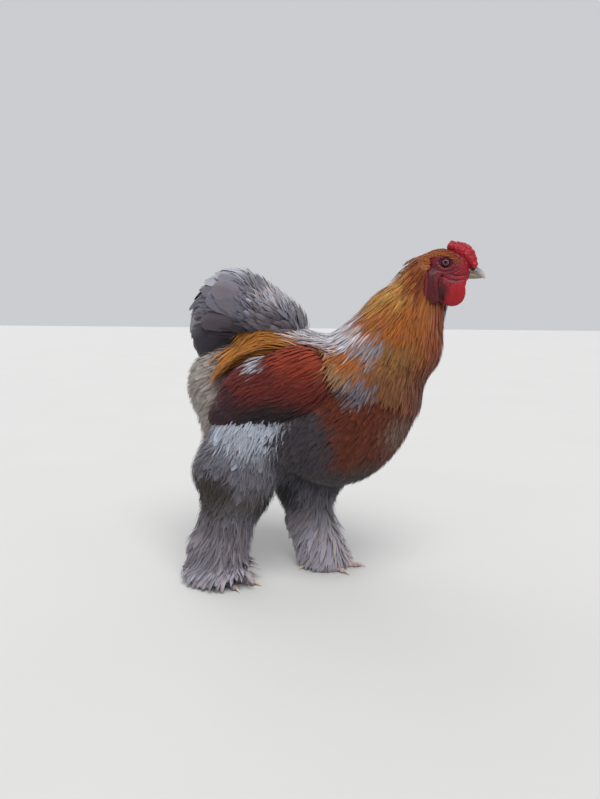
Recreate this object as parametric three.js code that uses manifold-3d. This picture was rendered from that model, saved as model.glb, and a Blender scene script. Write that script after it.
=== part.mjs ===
// A Brahma cock standing with its left foot forward and its right foot trailing, life size, in millimetres.
// X points to the beak, Y to the bird's left and Z up. The bird is modelled over the point between its feet,
// and the whole group is moved at the end, so that the origin lies on the floor under the middle of its box.
import * as THREE from "three";
import { mergeVertices } from "three/addons/utils/BufferGeometryUtils.js";
import Module from "manifold-3d";

const wasm = await Module();
wasm.setup();

// The gap that neighbours keep, and a cutter's growth, a little more as its facets lie inside the true form
const GAP = 0.3;
const CUTTER_GROWTH = 0.4;
const SIDES = { left: 1, right: -1 };

// Depths of plumage between the cores of the neck, wings and tail and the tips of their feathers
const HACKLE_DEPTH = 9;
const WING_DEPTH = 5;
const TAIL_DEPTH = 15;
const WING_CLEARANCE = 3;
const VANE_THICKNESS = 1.8;

// Each leg's points from hip to ankle, its foot's heading in degrees, and the dome its foot feathers lie on
const LEGS = {
  right: {
    hip: [-100, -64, 275],
    knee: [-128, -66, 215],
    hock: [-116, -60, 168],
    ankle: [-166, -60, 26],
    heading: -4,
    dome: { at: [-174, -68, 12], radii: [62, 48, 28] },
  },
  left: {
    hip: [0, 62, 265],
    knee: [4, 62, 215],
    hock: [-14, 54, 165],
    ankle: [9, 46, 26],
    heading: 6,
    dome: { at: [10, 56, 12], radii: [50, 44, 28] },
  },
};

// Colours of the plumage, skin and horn, with their roughness
const FINISHES = {
  gold_hackle: [0xb4641c, 0.7],
  body_plumage: [0x7c4a30, 0.85],
  wing_plumage: [0x6e2414, 0.7],
  slate_tail: [0x5d5a63, 0.75],
  grey_fluff: [0x8d8a92, 0.95],
  foot_plumage: [0xa39da3, 0.9],
  toe_skin: [0xc9a58e, 0.6],
  claw_horn: [0xb9a793, 0.4],
  beak_horn: [0x7d7672, 0.35],
  face_skin: [0x96121f, 0.55],
  comb_flesh: [0xb00f22, 0.5],
  eye: [0xb07a4a, 0.1],
};

const vec = (x, y, z) => new THREE.Vector3(x, y, z);

// Soft forms
// A form is a list of ellipsoids that run into one another. Each has a centre, three radii and a pitch in
// degrees, which lifts its front. Its field is negative inside, 0 on the surface and the distance outside.
function ellipsoid([x, y, z], [rx, ry, rz], pitch = 0) {
  const turn = new THREE.Quaternion().setFromAxisAngle(vec(0, 1, 0), THREE.MathUtils.degToRad(pitch));
  return { centre: vec(x, y, z), radii: vec(rx, ry, rz), turn };
}

const local = vec(0, 0, 0);
const scaled = vec(0, 0, 0);
const twiceScaled = vec(0, 0, 0);

function distanceTo(item, point) {
  local.copy(point).sub(item.centre).applyQuaternion(item.turn);
  scaled.copy(local).divide(item.radii);
  twiceScaled.copy(scaled).divide(item.radii);
  const share = scaled.length();
  return (share * (share - 1)) / Math.max(twiceScaled.length(), 1e-9);
}

const union = (blend, ...fields) => (point) => {
  let sum = 0;
  for (const field of fields) sum += Math.exp(-field(point) / blend);
  return -blend * Math.log(sum);
};
const form = (blend, ...items) => union(blend, ...items.map((item) => (point) => distanceTo(item, point)));
const grown = (field, by) => (point) => field(point) - by;

// How far a straight search from inside a field goes until it meets a level of the field
const SEARCH_STEP = 10;
const SEARCH_END = 420;
const SEARCH_TURNS = 18;

function reach(field, start, direction, level = 0) {
  const point = vec(0, 0, 0);
  const above = (distance) => field(point.copy(start).addScaledVector(direction, distance)) >= level;
  let outer = 0;
  while (outer < SEARCH_END && !above(outer)) outer += SEARCH_STEP;
  let inner = Math.max(0, outer - SEARCH_STEP);
  for (let turn = 0; turn < SEARCH_TURNS; turn++) {
    const middle = (inner + outer) / 2;
    if (above(middle)) outer = middle;
    else inner = middle;
  }
  return start.clone().addScaledVector(direction, inner);
}

// A sphere's grid, pulled out from a line inside a form until it lies on its surface, or grow outside it
function skin(field, from, to, around, along, grow = 0) {
  const geometry = new THREE.SphereGeometry(1, around, along);
  const axis = to.clone().sub(from).normalize();
  const side = vec(0, 1, 0).addScaledVector(axis, -axis.y).normalize();
  const third = side.clone().cross(axis);
  const place = geometry.attributes.position;
  for (let i = 0; i < place.count; i++) {
    const direction = vec(0, 0, 0)
      .addScaledVector(side, place.getX(i))
      .addScaledVector(axis, place.getY(i))
      .addScaledVector(third, place.getZ(i));
    const start = from.clone().lerp(to, (1 + place.getY(i)) / 2);
    const point = reach(field, start, direction, grow);
    place.setXYZ(i, point.x, point.y, point.z);
  }
  return geometry;
}

// Joining and cutting
function solid(geometry) {
  geometry.deleteAttribute("normal");
  geometry.deleteAttribute("uv");
  const merged = mergeVertices(geometry, 1e-3);
  const kept = [];
  const index = merged.index.array;
  for (let i = 0; i < index.length; i += 3) {
    const [a, b, c] = [index[i], index[i + 1], index[i + 2]];
    if (a !== b && b !== c && a !== c) kept.push(a, b, c);
  }
  return new wasm.Manifold(
    new wasm.Mesh({
      numProp: 3,
      vertProperties: merged.attributes.position.array,
      triVerts: new Uint32Array(kept),
    }),
  );
}

function closed(places, faces) {
  const geometry = new THREE.BufferGeometry();
  geometry.setAttribute("position", new THREE.Float32BufferAttribute(places, 3));
  geometry.setIndex(faces);
  return solid(geometry);
}

const join = (solids) => solids.reduce((sum, next) => sum.add(next));
const cut = (body, ...cutters) => cutters.reduce((rest, cutter) => rest.subtract(cutter), body);

function largest(body) {
  return body.decompose().sort((a, b) => b.volume() - a.volume())[0];
}

const bird = new THREE.Group();

function node(name, finish, body) {
  const mesh = largest(body).getMesh();
  const geometry = new THREE.BufferGeometry();
  geometry.setAttribute("position", new THREE.BufferAttribute(mesh.vertProperties, mesh.numProp));
  geometry.setIndex(new THREE.BufferAttribute(mesh.triVerts, 1));
  const [color, roughness] = FINISHES[finish];
  const made = new THREE.Mesh(geometry, new THREE.MeshStandardMaterial({ color, roughness, metalness: 0 }));
  made.name = name;
  bird.add(made);
}

// A horn is a closed, tapering tube of oval rings along a curve: beaks and claws
function horn(points, halfWidths, halfHeights, sides, grow = 0) {
  const curve = new THREE.CatmullRomCurve3(points);
  const rings = halfWidths.length;
  const places = [];
  const faces = [];
  for (let ring = 0; ring < rings; ring++) {
    const share = ring / rings;
    const centre = curve.getPoint(share);
    const along = curve.getTangent(share);
    const side = vec(-along.y, along.x, 0);
    if (side.length() < 1e-6) side.set(0, 1, 0);
    side.normalize();
    const up = along.clone().cross(side);
    for (let corner = 0; corner < sides; corner++) {
      const angle = (2 * Math.PI * corner) / sides;
      const place = centre
        .clone()
        .addScaledVector(side, (halfWidths[ring] + grow) * Math.cos(angle))
        .addScaledVector(up, (halfHeights[ring] + grow) * Math.sin(angle));
      places.push(place.x, place.y, place.z);
    }
  }
  const root = curve.getPoint(0).addScaledVector(curve.getTangent(0), -grow);
  const tip = curve.getPoint(1).addScaledVector(curve.getTangent(1), grow);
  places.push(root.x, root.y, root.z, tip.x, tip.y, tip.z);
  const rootAt = rings * sides;
  for (let corner = 0; corner < sides; corner++) {
    const next = (corner + 1) % sides;
    faces.push(rootAt, next, corner);
    for (let ring = 0; ring + 1 < rings; ring++) {
      const a = ring * sides + corner;
      const b = ring * sides + next;
      faces.push(a, b, b + sides, a, b + sides, a + sides);
    }
    const last = (rings - 1) * sides;
    faces.push(last + corner, last + next, rootAt + 1);
  }
  return closed(places, faces);
}

// Feathers
// A vane is a thin blade of four-cornered rings from its root to its pointed tip, laid on a field's surface.
// Its root is sunk and its tip lifted, its edges follow the surface, and roll raises one edge over the next.
const OUTLINES = {
  pointed: { shares: [0, 0.4, 0.78], widths: [0.6, 1, 0.72] },
  rounded: { shares: [0, 0.45, 0.88], widths: [0.6, 1, 0.86] },
};
const RISE_EASE = 0.6;
const LAYING_STEP = 14;
const EDGE_TUCK = 0.85;
const PROBE = 0.5;

function slope(field, at) {
  const here = field(at);
  const probe = at.clone();
  return vec(
    field(probe.setX(at.x + PROBE)) - here,
    field(probe.setX(at.x).setY(at.y + PROBE)) - here,
    field(probe.setY(at.y).setZ(at.z + PROBE)) - here,
  ).divideScalar(PROBE);
}

function settle(field, at, height) {
  for (let turn = 0; turn < 2; turn++) {
    const rise = slope(field, at);
    at.addScaledVector(rise, (height - field(at)) / rise.lengthSq());
  }
  return slope(field, at).normalize();
}

function vane(field, root, flow, shape, grow = 0) {
  const { shares, widths } = OUTLINES[shape.outline];
  const at = root.clone();
  const heightAt = (share) => THREE.MathUtils.lerp(-shape.sink, shape.lift, share ** RISE_EASE);
  let up = settle(field, at, heightAt(0));
  const heading = () => flow(at).projectOnPlane(up).normalize();
  if (grow) at.addScaledVector(heading(), -grow);
  let reached = 0;
  const places = [];
  const faces = [];
  for (const [ring, share] of [...shares, 1].entries()) {
    const distance = shape.length * (share - reached);
    const steps = Math.max(1, Math.round(distance / LAYING_STEP));
    for (let step = 0; step < steps && distance > 0; step++) {
      at.addScaledVector(heading(), distance / steps);
      const height = heightAt(THREE.MathUtils.lerp(reached, share, (step + 1) / steps));
      up = settle(field, at, height);
    }
    reached = share;
    const along = heading();
    if (ring === shares.length) {
      at.addScaledVector(along, grow);
      places.push(at.x, at.y, at.z);
      break;
    }
    const across = along.clone().cross(up);
    const half = (shape.width * widths[ring]) / 2 + grow;
    const thick = (VANE_THICKNESS / 2) * (1 - 0.3 * share) + grow;
    const corners = [-1, 1].map((edge) => {
      const corner = at.clone().addScaledVector(across, edge * half);
      const drop = (field(corner) - heightAt(share)) * EDGE_TUCK;
      return corner.addScaledVector(up, -drop - edge * (shape.roll ?? 0) * half * Math.min(1, 3 * share));
    });
    const top = at.clone().addScaledVector(up, thick);
    const bottom = at.clone().addScaledVector(up, -thick);
    for (const place of [corners[0], top, corners[1], bottom]) places.push(place.x, place.y, place.z);
  }
  const rings = shares.length;
  for (let corner = 0; corner < 4; corner++) {
    const next = (corner + 1) % 4;
    for (let ring = 0; ring + 1 < rings; ring++) {
      const [a, b] = [ring * 4 + corner, ring * 4 + next];
      if (corner % 2) faces.push(a, b, a + 4, b, b + 4, a + 4);
      else faces.push(a, b, b + 4, a, b + 4, a + 4);
    }
    faces.push((rings - 1) * 4 + corner, (rings - 1) * 4 + next, rings * 4);
  }
  faces.push(0, 3, 2, 0, 2, 1);
  return closed(places, faces);
}

// Feathers of one kind differ a little. The draw comes from the feather's own number, so a cutter repeats it.
function varied(number, spread) {
  const draw = Math.sin(number * 127.1 + 311.7) * 43758.5453;
  return 1 + spread * (2 * (draw - Math.floor(draw)) - 1);
}

// Rows of feathers: each row gives its roots by a share from 0 to 1, and the shape of its feathers
function feathers(field, flow, rows, grow = 0) {
  const vanes = [];
  for (const [index, row] of rows.entries()) {
    for (let place = 0; place < row.count; place++) {
      const number = index * 40 + place;
      const share = row.count > 1 ? place / (row.count - 1) : 0.5;
      const shape = {
        ...row,
        length: (row.lengthAt ? row.lengthAt(share) : row.length) * varied(number, 0.07),
        width: row.width * varied(number + 0.5, 0.06),
      };
      vanes.push(vane(field, row.root(share), flow, shape, grow));
    }
  }
  return vanes;
}

// Torso: breast, ribs, belly, rump and the fluff under the tail
const torsoField = form(
  14,
  ellipsoid([82, 0, 330], [138, 98, 100], 66),
  ellipsoid([40, 0, 268], [86, 84, 78], 30),
  ellipsoid([-30, 0, 338], [160, 106, 118], 2),
  ellipsoid([-158, 0, 362], [86, 80, 84], 0),
  ellipsoid([-118, 0, 290], [92, 88, 76], 0),
  ellipsoid([-80, 0, 425], [72, 60, 56], -24),
);
const TORSO_LINE = [vec(-150, 0, 345), vec(95, 0, 330)];
const torsoCore = (grow) => solid(skin(torsoField, ...TORSO_LINE, 20, 15, grow));

// Neck: a row of ellipsoids from the shoulders to the back of the head, out to the tips of the hackle
const neckField = form(
  8,
  ellipsoid([92, 0, 402], [84, 78, 84]),
  ellipsoid([128, 0, 430], [84, 76, 84]),
  ellipsoid([158, 0, 474], [66, 58, 66]),
  ellipsoid([180, 0, 512], [50, 40, 48]),
  ellipsoid([190, 0, 546], [38, 24, 37]),
);
const NECK_LINE = [vec(100, 0, 395), vec(192, 0, 545)];
const neckCore = (grow) => solid(skin(neckField, ...NECK_LINE, 16, 9, grow - HACKLE_DEPTH));

// Wings, folded against the ribs
function wingField(side) {
  return form(
    8,
    ellipsoid([-2, side * 90, 390], [52, 24, 56], 20),
    ellipsoid([-60, side * 95, 367], [90, 22, 60], 16),
    ellipsoid([-108, side * 88, 328], [66, 16, 38], 14),
  );
}
const WING_FIELDS = { left: wingField(1), right: wingField(-1) };

function wingCore(name, grow) {
  const y = SIDES[name] * 92;
  return solid(skin(WING_FIELDS[name], vec(14, y, 382), vec(-120, y, 335), 12, 10, grow - WING_DEPTH));
}

// A closed wing's feathers lie in tiers and run together towards its tip, each from the lowest up.
// The primaries and secondaries reach furthest back, and each tier of coverts covers the roots of the next.
function wingRows(name) {
  const side = SIDES[name];
  const from = ([x0, z0], [x1, z1]) => (share) => {
    const start = vec(THREE.MathUtils.lerp(x0, x1, share), side * 90, THREE.MathUtils.lerp(z0, z1, share));
    return reach(WING_FIELDS[name], start, vec(0, side, 0), -WING_DEPTH);
  };
  const tier = { sink: 3.5, roll: side * -0.1, outline: "rounded" };
  return [
    { ...tier, root: from([-34, 322], [-56, 332]), count: 3, length: 108, width: 15, lift: 1.5 },
    {
      ...tier,
      root: from([-4, 328], [-76, 398]),
      count: 7,
      lengthAt: (share) => 98 + 12 * Math.sin(Math.PI * share),
      width: 20,
      lift: 4,
    },
    { ...tier, root: from([22, 346], [-48, 414]), count: 6, length: 62, width: 20, lift: 5 },
    { ...tier, root: from([40, 374], [-6, 424]), count: 5, length: 46, width: 18, lift: 5 },
  ];
}

function wing(name, grow = 0) {
  const tipAim = vec(-250, SIDES[name] * 84, 262);
  const flow = (at) => tipAim.clone().sub(at);
  const field = grown(WING_FIELDS[name], -WING_DEPTH);
  return join([wingCore(name, grow), ...feathers(field, flow, wingRows(name), grow)]);
}

// Hackle: tiers of long, pointed feathers that stream from behind the face down over the shoulders
const HACKLE_SOURCE = vec(236, 0, 668);
const hackleFlow = (at) => at.clone().sub(HACKLE_SOURCE);
const HACKLE_TIERS = [
  { down: 6, count: 7, length: 54, width: 19 },
  { down: 34, count: 9, length: 64, width: 22 },
  { down: 66, count: 11, length: 72, width: 26 },
  { down: 100, count: 12, length: 74, width: 29 },
  { down: 136, count: 13, length: 62, width: 31 },
];
const NAPE_RISE = 46;

function hackle(grow) {
  const [low, high] = NECK_LINE;
  const axis = high.clone().sub(low).normalize();
  const third = vec(0, 1, 0).cross(axis);
  const rows = HACKLE_TIERS.map((tier, index) => ({
    ...tier,
    sink: 4,
    lift: HACKLE_DEPTH - 1,
    roll: 0.08,
    outline: "pointed",
    root: (share) => {
      const turn = (2 * Math.PI * (share * (tier.count - 1) + 0.5 * (index % 2))) / tier.count;
      const direction = vec(0, Math.sin(turn), 0).addScaledVector(third, Math.cos(turn));
      const nape = Math.max(0, -direction.x) * NAPE_RISE * (tier.down / HACKLE_TIERS.at(-1).down);
      const start = high.clone().addScaledVector(axis, nape - tier.down);
      return reach(neckField, start, direction, -HACKLE_DEPTH);
    },
  }));
  const wings = Object.values(WING_FIELDS).map((field) => grown(field, WING_CLEARANCE));
  const around = union(6, grown(neckField, -HACKLE_DEPTH), torsoField, ...wings);
  return feathers(around, hackleFlow, rows, grow);
}

// Saddle: the long feathers of the lower back, which fall over the rump and the top of each wing
const SADDLE_TOP = 480;
const SADDLE_FALL = 0.55;
const SADDLE_BEND = 80;
const saddleFlow = (at) => vec(-1, 0, -SADDLE_FALL - (SADDLE_TOP - at.z) / SADDLE_BEND);
const SADDLE_ROWS = [
  { x: 2, angles: [14, 62], count: 3, length: 76 },
  { x: -36, angles: [8, 70], count: 4, length: 84 },
  { x: -78, angles: [36, 78], count: 4, length: 92 },
  { x: -120, angles: [50, 82], count: 3, length: 86 },
];

function saddle(grow) {
  const rows = [];
  for (const side of Object.values(SIDES)) {
    for (const row of SADDLE_ROWS) {
      rows.push({
        ...row,
        width: 24,
        sink: 7,
        lift: 6,
        roll: side * -0.05,
        outline: "pointed",
        root: (share) => {
          const angle = THREE.MathUtils.degToRad(THREE.MathUtils.lerp(...row.angles, share));
          return reach(torsoField, vec(row.x, 0, 390), vec(0, side * Math.sin(angle), Math.cos(angle)));
        },
      });
    }
  }
  const wings = Object.values(WING_FIELDS).map((field) => grown(field, WING_CLEARANCE));
  return feathers(union(12, torsoField, ...wings), saddleFlow, rows, grow);
}

// Tail: full and round. Its feathers rise from the saddle and curl back and down.
const tailField = form(
  12,
  ellipsoid([-146, 0, 504], [74, 62, 74], -30),
  ellipsoid([-188, 0, 462], [44, 54, 68], 10),
  ellipsoid([-106, 0, 474], [56, 62, 58], -40),
);
const TAIL_LINE = [vec(-120, 0, 470), vec(-165, 0, 500)];
const tailCore = (grow) => solid(skin(tailField, ...TAIL_LINE, 16, 10, grow - TAIL_DEPTH));

const TAIL_ROOT = vec(-92, 0, 428);
const TAIL_MIDDLE = vec(-140, 0, 490);
const TAIL_CURL = THREE.MathUtils.degToRad(52);
const TAIL_REACH = 150;

function tailFlow(at) {
  const away = at.clone().sub(TAIL_ROOT).setY(0);
  const curl = TAIL_CURL * (away.length() / TAIL_REACH);
  return away.applyAxisAngle(vec(0, 1, 0), -curl);
}

// Each tier's distance from the tail's root, its first and last angle, and its spread to the side
const TAIL_TIERS = [
  { away: 50, angles: [92, 170], aside: 1, count: 3, length: 64, width: 30 },
  { away: 84, angles: [84, 190], aside: 1, count: 4, length: 64, width: 36 },
  { away: 114, angles: [78, 204], aside: 0.7, count: 6, length: 60, width: 38 },
  { away: 104, angles: [80, 146], aside: 0.12, count: 3, length: 68, width: 30 },
];

function tailVanes(grow) {
  const rows = [];
  for (const side of Object.values(SIDES)) {
    for (const tier of TAIL_TIERS) {
      rows.push({
        ...tier,
        sink: 4,
        lift: TAIL_DEPTH,
        roll: side * 0.12,
        outline: "rounded",
        root: (share) => {
          const angle = THREE.MathUtils.degToRad(THREE.MathUtils.lerp(...tier.angles, share));
          const place = vec(Math.cos(angle), 0, Math.sin(angle)).multiplyScalar(tier.away).add(TAIL_ROOT);
          const start = TAIL_MIDDLE.clone().lerp(place, 0.5);
          const direction = place.sub(start).normalize().multiplyScalar(1 - 0.6 * tier.aside);
          direction.y = side * tier.aside;
          return reach(tailField, start, direction.normalize(), -TAIL_DEPTH);
        },
      });
    }
  }
  return feathers(grown(tailField, -TAIL_DEPTH), tailFlow, rows, grow);
}

// Head: cranium, cheeks, the root of the bill and the throat
const headField = form(
  5,
  ellipsoid([219, 0, 577], [31, 22, 24], -8),
  ellipsoid([238, 0, 566], [27, 18, 20], -18),
  ellipsoid([224, 0, 550], [24, 18, 26], 0),
  ellipsoid([205, 0, 548], [19, 24, 27], 0),
);
const HEAD_LINE = [vec(212, 0, 562), vec(240, 0, 565)];
const head = (grow) => solid(skin(headField, ...HEAD_LINE, 16, 12, grow));

// Eyes, with a ring of lid round each
const EYE_AT = { x: 223, y: 17.5, z: 578 };
const EYE_RADIUS = 6.2;
const LID_RADIUS = 6.6;
const LID_THICKNESS = 1.5;

function eye(side, grow = 0) {
  const ball = new THREE.SphereGeometry(EYE_RADIUS + grow, 10, 6);
  return solid(ball.translate(EYE_AT.x, side * EYE_AT.y, EYE_AT.z));
}

function lid(side) {
  const ring = new THREE.TorusGeometry(LID_RADIUS, LID_THICKNESS, 4, 12);
  ring.rotateX(Math.PI / 2).scale(1.08, 1, 0.86);
  return solid(ring.translate(EYE_AT.x, side * (EYE_AT.y + 4.2), EYE_AT.z));
}

// Bill: an arched upper half with a nostril on each side, and a shorter lower half
const UPPER_BILL = {
  line: [vec(252, 0, 566), vec(263, 0, 566), vec(275, 0, 562.5), vec(284, 0, 556), vec(287.5, 0, 549)],
  halfWidths: [9.5, 9, 7.4, 5.2, 2.8],
  halfHeights: [8.4, 8, 6.6, 4.6, 2.6],
};
const LOWER_BILL = {
  line: [vec(250, 0, 555), vec(262, 0, 555), vec(272, 0, 553), vec(280, 0, 551)],
  halfWidths: [8, 7.2, 5.6, 3.6],
  halfHeights: [5, 4.6, 3.8, 2.6],
};
const bill = ({ line, halfWidths, halfHeights }, grow = 0) => horn(line, halfWidths, halfHeights, 10, grow);

function nostril(side) {
  const hole = new THREE.SphereGeometry(1, 7, 5).scale(3.4, 1.8, 1.3).rotateY(0.25);
  return solid(hole.translate(265, side * 7.6, 566.5));
}

// Pea comb: a low base with three rows of bulbs, the middle row the tallest
const COMB_BACK = vec(226, 0, 602);
const COMB_FRONT = vec(264, 0, 571);
const COMB_UP = vec(0.62, 0, 0.78);
const COMB_ROWS = [
  { side: 0, bulbs: 6, height: 15, radius: 6.6 },
  { side: 9.5, bulbs: 5, height: 8, radius: 5.8 },
  { side: -9.5, bulbs: 5, height: 8, radius: 5.8 },
];

function combField() {
  const middle = COMB_BACK.clone().lerp(COMB_FRONT, 0.5);
  const fall = THREE.MathUtils.radToDeg(Math.atan2(COMB_FRONT.z - COMB_BACK.z, COMB_FRONT.x - COMB_BACK.x));
  const items = [ellipsoid([middle.x, 0, middle.z], [26, 11, 13], fall)];
  for (const row of COMB_ROWS) {
    for (let bulb = 0; bulb < row.bulbs; bulb++) {
      const share = bulb / (row.bulbs - 1);
      const arch = Math.sin(Math.PI * (0.16 + 0.72 * share));
      const at = COMB_BACK.clone().lerp(COMB_FRONT, 0.02 + 0.96 * share);
      at.addScaledVector(COMB_UP, row.height * arch);
      const radius = row.radius * (0.72 + 0.3 * arch + 0.08 * Math.sin(5 * bulb + row.side));
      items.push(ellipsoid([at.x, row.side, at.z], [radius, radius * 0.9, radius * 1.15]));
    }
  }
  return form(0.7, ...items);
}
const comb = () => solid(skin(combField(), COMB_BACK, COMB_FRONT, 22, 17));

// Wattles hang from the lower bill, and the ear lobes from the cheeks behind them
function wattleField(side) {
  return form(
    3,
    ellipsoid([243, side * 12, 548], [14, 6, 12], -20),
    ellipsoid([237, side * 17, 528], [20, 6, 21], -12),
    ellipsoid([222, side * 19, 532], [15, 6, 20], 8),
  );
}
const wattle = (side, grow = 0) =>
  solid(skin(wattleField(side), vec(240, side * 14, 545), vec(232, side * 18, 526), 10, 9, grow));

function lobeField(side) {
  return form(
    3,
    ellipsoid([199, side * 22, 556], [9, 5, 10]),
    ellipsoid([203, side * 25, 534], [13, 5.5, 22], 8),
  );
}
const lobe = (side, grow = 0) =>
  solid(skin(lobeField(side), vec(200, side * 23, 554), vec(204, side * 25, 528), 10, 7, grow));

// Legs: fluffy thighs, feathered shanks and four toes a foot
const THIGH_RADII = [
  [74, 50, 72],
  [80, 52, 56],
  [46, 38, 36],
];

function thighField(leg) {
  return form(
    10,
    ellipsoid(leg.hip, THIGH_RADII[0]),
    ellipsoid(leg.knee, THIGH_RADII[1]),
    ellipsoid(leg.hock, THIGH_RADII[2]),
  );
}
const thigh = (leg, grow = 0) =>
  solid(skin(thighField(leg), vec(...leg.hip), vec(...leg.hock), 16, 10, grow));

const TOE_RADIUS = 6.5;
const ANKLE_RADIUS = 11;
// Each toe's heading from the foot's own, towards the outside, and its length to the root of its claw
const TOES = [
  { name: "inner", turn: -36, length: 52 },
  { name: "middle", turn: 2, length: 68 },
  { name: "outer", turn: 36, length: 54 },
  { name: "hind", turn: -150, length: 40 },
];
const CLAW_LENGTH = 15;

function toeLine(leg, side, toe) {
  const heading = THREE.MathUtils.degToRad(leg.heading + side * toe.turn);
  const forward = vec(Math.cos(heading), Math.sin(heading), 0);
  const foot = vec(leg.ankle[0], leg.ankle[1], 0);
  return (away, height) => foot.clone().addScaledVector(forward, away).setZ(height);
}

function toeSkin(leg, side, toe, grow) {
  const at = toeLine(leg, side, toe);
  const pads = Math.round(toe.length / 12);
  const items = [ellipsoid(at(0, TOE_RADIUS).toArray(), [TOE_RADIUS, TOE_RADIUS, TOE_RADIUS])];
  for (let pad = 1; pad <= pads; pad++) {
    const away = (toe.length * pad) / pads - TOE_RADIUS / 2;
    const r = TOE_RADIUS * (1 - 0.22 * (pad / pads));
    items.push(ellipsoid(at(away, r - 1).toArray(), [r * 1.15, r * 1.1, r]));
  }
  return solid(skin(form(2.5, ...items), at(4, 5), at(toe.length - 5, 5), 7, 7, grow));
}

const floorCutter = () => solid(new THREE.BoxGeometry(1200, 1200, 100).translate(0, 0, -50));

function foot(leg, side, grow = 0) {
  const [x, y] = leg.ankle;
  const low = ellipsoid([x, y, 14], [14, 14, 16]);
  const high = ellipsoid(leg.ankle, [ANKLE_RADIUS, ANKLE_RADIUS, 18]);
  const root = solid(skin(form(2.5, low, high), vec(x, y, 12), vec(...leg.ankle), 10, 6, grow));
  return cut(join([root, ...TOES.map((toe) => toeSkin(leg, side, toe, grow))]), floorCutter());
}

function claw(leg, side, toe) {
  const at = toeLine(leg, side, toe);
  const tip = at(toe.length + CLAW_LENGTH, 0.6);
  const line = [at(toe.length - 8, 5), at(toe.length, 5.6), at(toe.length + 7, 4.6), tip];
  return cut(horn(line, [2.6, 2.8, 2.2], [3, 3, 2.2], 6), floorCutter());
}

// A shank's flesh and down are its core. Long feathers fall from it and spread over the toes as on a dome.
const SHANK_RADII = [30, 24];

function shankField(leg) {
  const [hock, ankle] = [vec(...leg.hock), vec(...leg.ankle)];
  const items = [0, 0.22, 0.44, 0.66, 0.86].map((share) => {
    const r = THREE.MathUtils.lerp(...SHANK_RADII, share);
    return ellipsoid(hock.clone().lerp(ankle, share).toArray(), [r, r, 22]);
  });
  return form(8, ...items);
}
const SHANK_TIERS = [
  { down: 0.2, count: 4, length: 66, lift: 15, width: 36 },
  { down: 0.48, count: 5, length: 66, lift: 15, width: 36 },
  { down: 0.74, count: 7, length: 58, lift: 9, width: 33 },
];

function shankVanes(leg, side, grow) {
  const [hock, ankle] = [vec(...leg.hock), vec(...leg.ankle)];
  const field = shankField(leg);
  const guide = union(8, field, form(1, ellipsoid(leg.dome.at, leg.dome.radii)));
  const flow = (at) => {
    const spread = at.clone().sub(vec(leg.dome.at[0], leg.dome.at[1], at.z));
    return vec(-0.22, side * 0.13, -1).addScaledVector(spread, 0.012);
  };
  const rows = SHANK_TIERS.map((tier, index) => ({
    ...tier,
    sink: 4,
    roll: 0.08,
    outline: "rounded",
    root: (share) => {
      const turn = (2 * Math.PI * (share * (tier.count - 1) + 0.5 * (index % 2))) / tier.count;
      return reach(field, hock.clone().lerp(ankle, tier.down), vec(Math.cos(turn), Math.sin(turn), 0));
    },
  }));
  return feathers(guide, flow, rows, grow);
}

function shank(leg, side) {
  const core = solid(skin(shankField(leg), vec(...leg.hock), vec(...leg.ankle), 10, 7));
  return join([core, ...shankVanes(leg, side, 0)]);
}

// Assembly: each node is cut back from what it grows from or lies on
const torsoCutter = torsoCore(CUTTER_GROWTH);
const headCutter = head(CUTTER_GROWTH);
const wingCutters = Object.keys(SIDES).map((name) => wing(name, CUTTER_GROWTH));
const eyeCutters = Object.values(SIDES).map((side) => eye(side, GAP));
const lobeCutters = Object.values(SIDES).map((side) => lobe(side, CUTTER_GROWTH));

const tailWhole = join([tailCore(0), ...tailVanes(0)]);
const tailCutter = join([tailCore(CUTTER_GROWTH), ...tailVanes(CUTTER_GROWTH)]);
const saddleCutter = join(saddle(CUTTER_GROWTH));
node("tail", "slate_tail", cut(tailWhole, torsoCutter));
const saddleFree = cut(join(saddle(0)), ...wingCutters, tailCutter);
node("torso", "body_plumage", join([torsoCore(0), saddleFree]));
const neckWhole = join([neckCore(0), ...hackle(0)]);
const neckBounds = [torsoCutter, saddleCutter, headCutter, ...lobeCutters, ...wingCutters];
node("neck", "gold_hackle", cut(neckWhole, ...neckBounds));
node("head", "face_skin", cut(join([head(0), lid(1), lid(-1)]), ...eyeCutters));
const neckCutter = cut(neckCore(CUTTER_GROWTH), head(-CUTTER_GROWTH));
const upperCutter = bill(UPPER_BILL, CUTTER_GROWTH);
const lowerCutter = bill(LOWER_BILL, CUTTER_GROWTH);
node("bill_upper", "beak_horn", cut(bill(UPPER_BILL), nostril(1), nostril(-1), headCutter));
node("bill_lower", "beak_horn", cut(bill(LOWER_BILL), headCutter, upperCutter));
node("comb", "comb_flesh", cut(comb(), headCutter, upperCutter, neckCutter));

for (const [index, [name, side]] of Object.entries(SIDES).entries()) {
  const leg = LEGS[name];
  node(`eye_${name}`, "eye", eye(side));
  node(`ear_lobe_${name}`, "comb_flesh", cut(lobe(side), headCutter));
  const face = [headCutter, neckCutter, lowerCutter, upperCutter, lobeCutters[index]];
  node(`wattle_${name}`, "comb_flesh", cut(wattle(side), ...face));
  node(`wing_${name}`, "wing_plumage", cut(wing(name), torsoCutter));
  const thighCutter = thigh(leg, CUTTER_GROWTH);
  const footCutter = foot(leg, side, CUTTER_GROWTH);
  node(`thigh_${name}`, "grey_fluff", cut(thigh(leg), torsoCutter, wingCore(name, WING_DEPTH + 2)));
  node(`shank_${name}`, "foot_plumage", cut(shank(leg, side), thighCutter, footCutter, floorCutter()));
  node(`foot_${name}`, "toe_skin", foot(leg, side));
  for (const toe of TOES) {
    node(`claw_${name}_${toe.name}`, "claw_horn", cut(claw(leg, side, toe), footCutter));
  }
}

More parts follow.
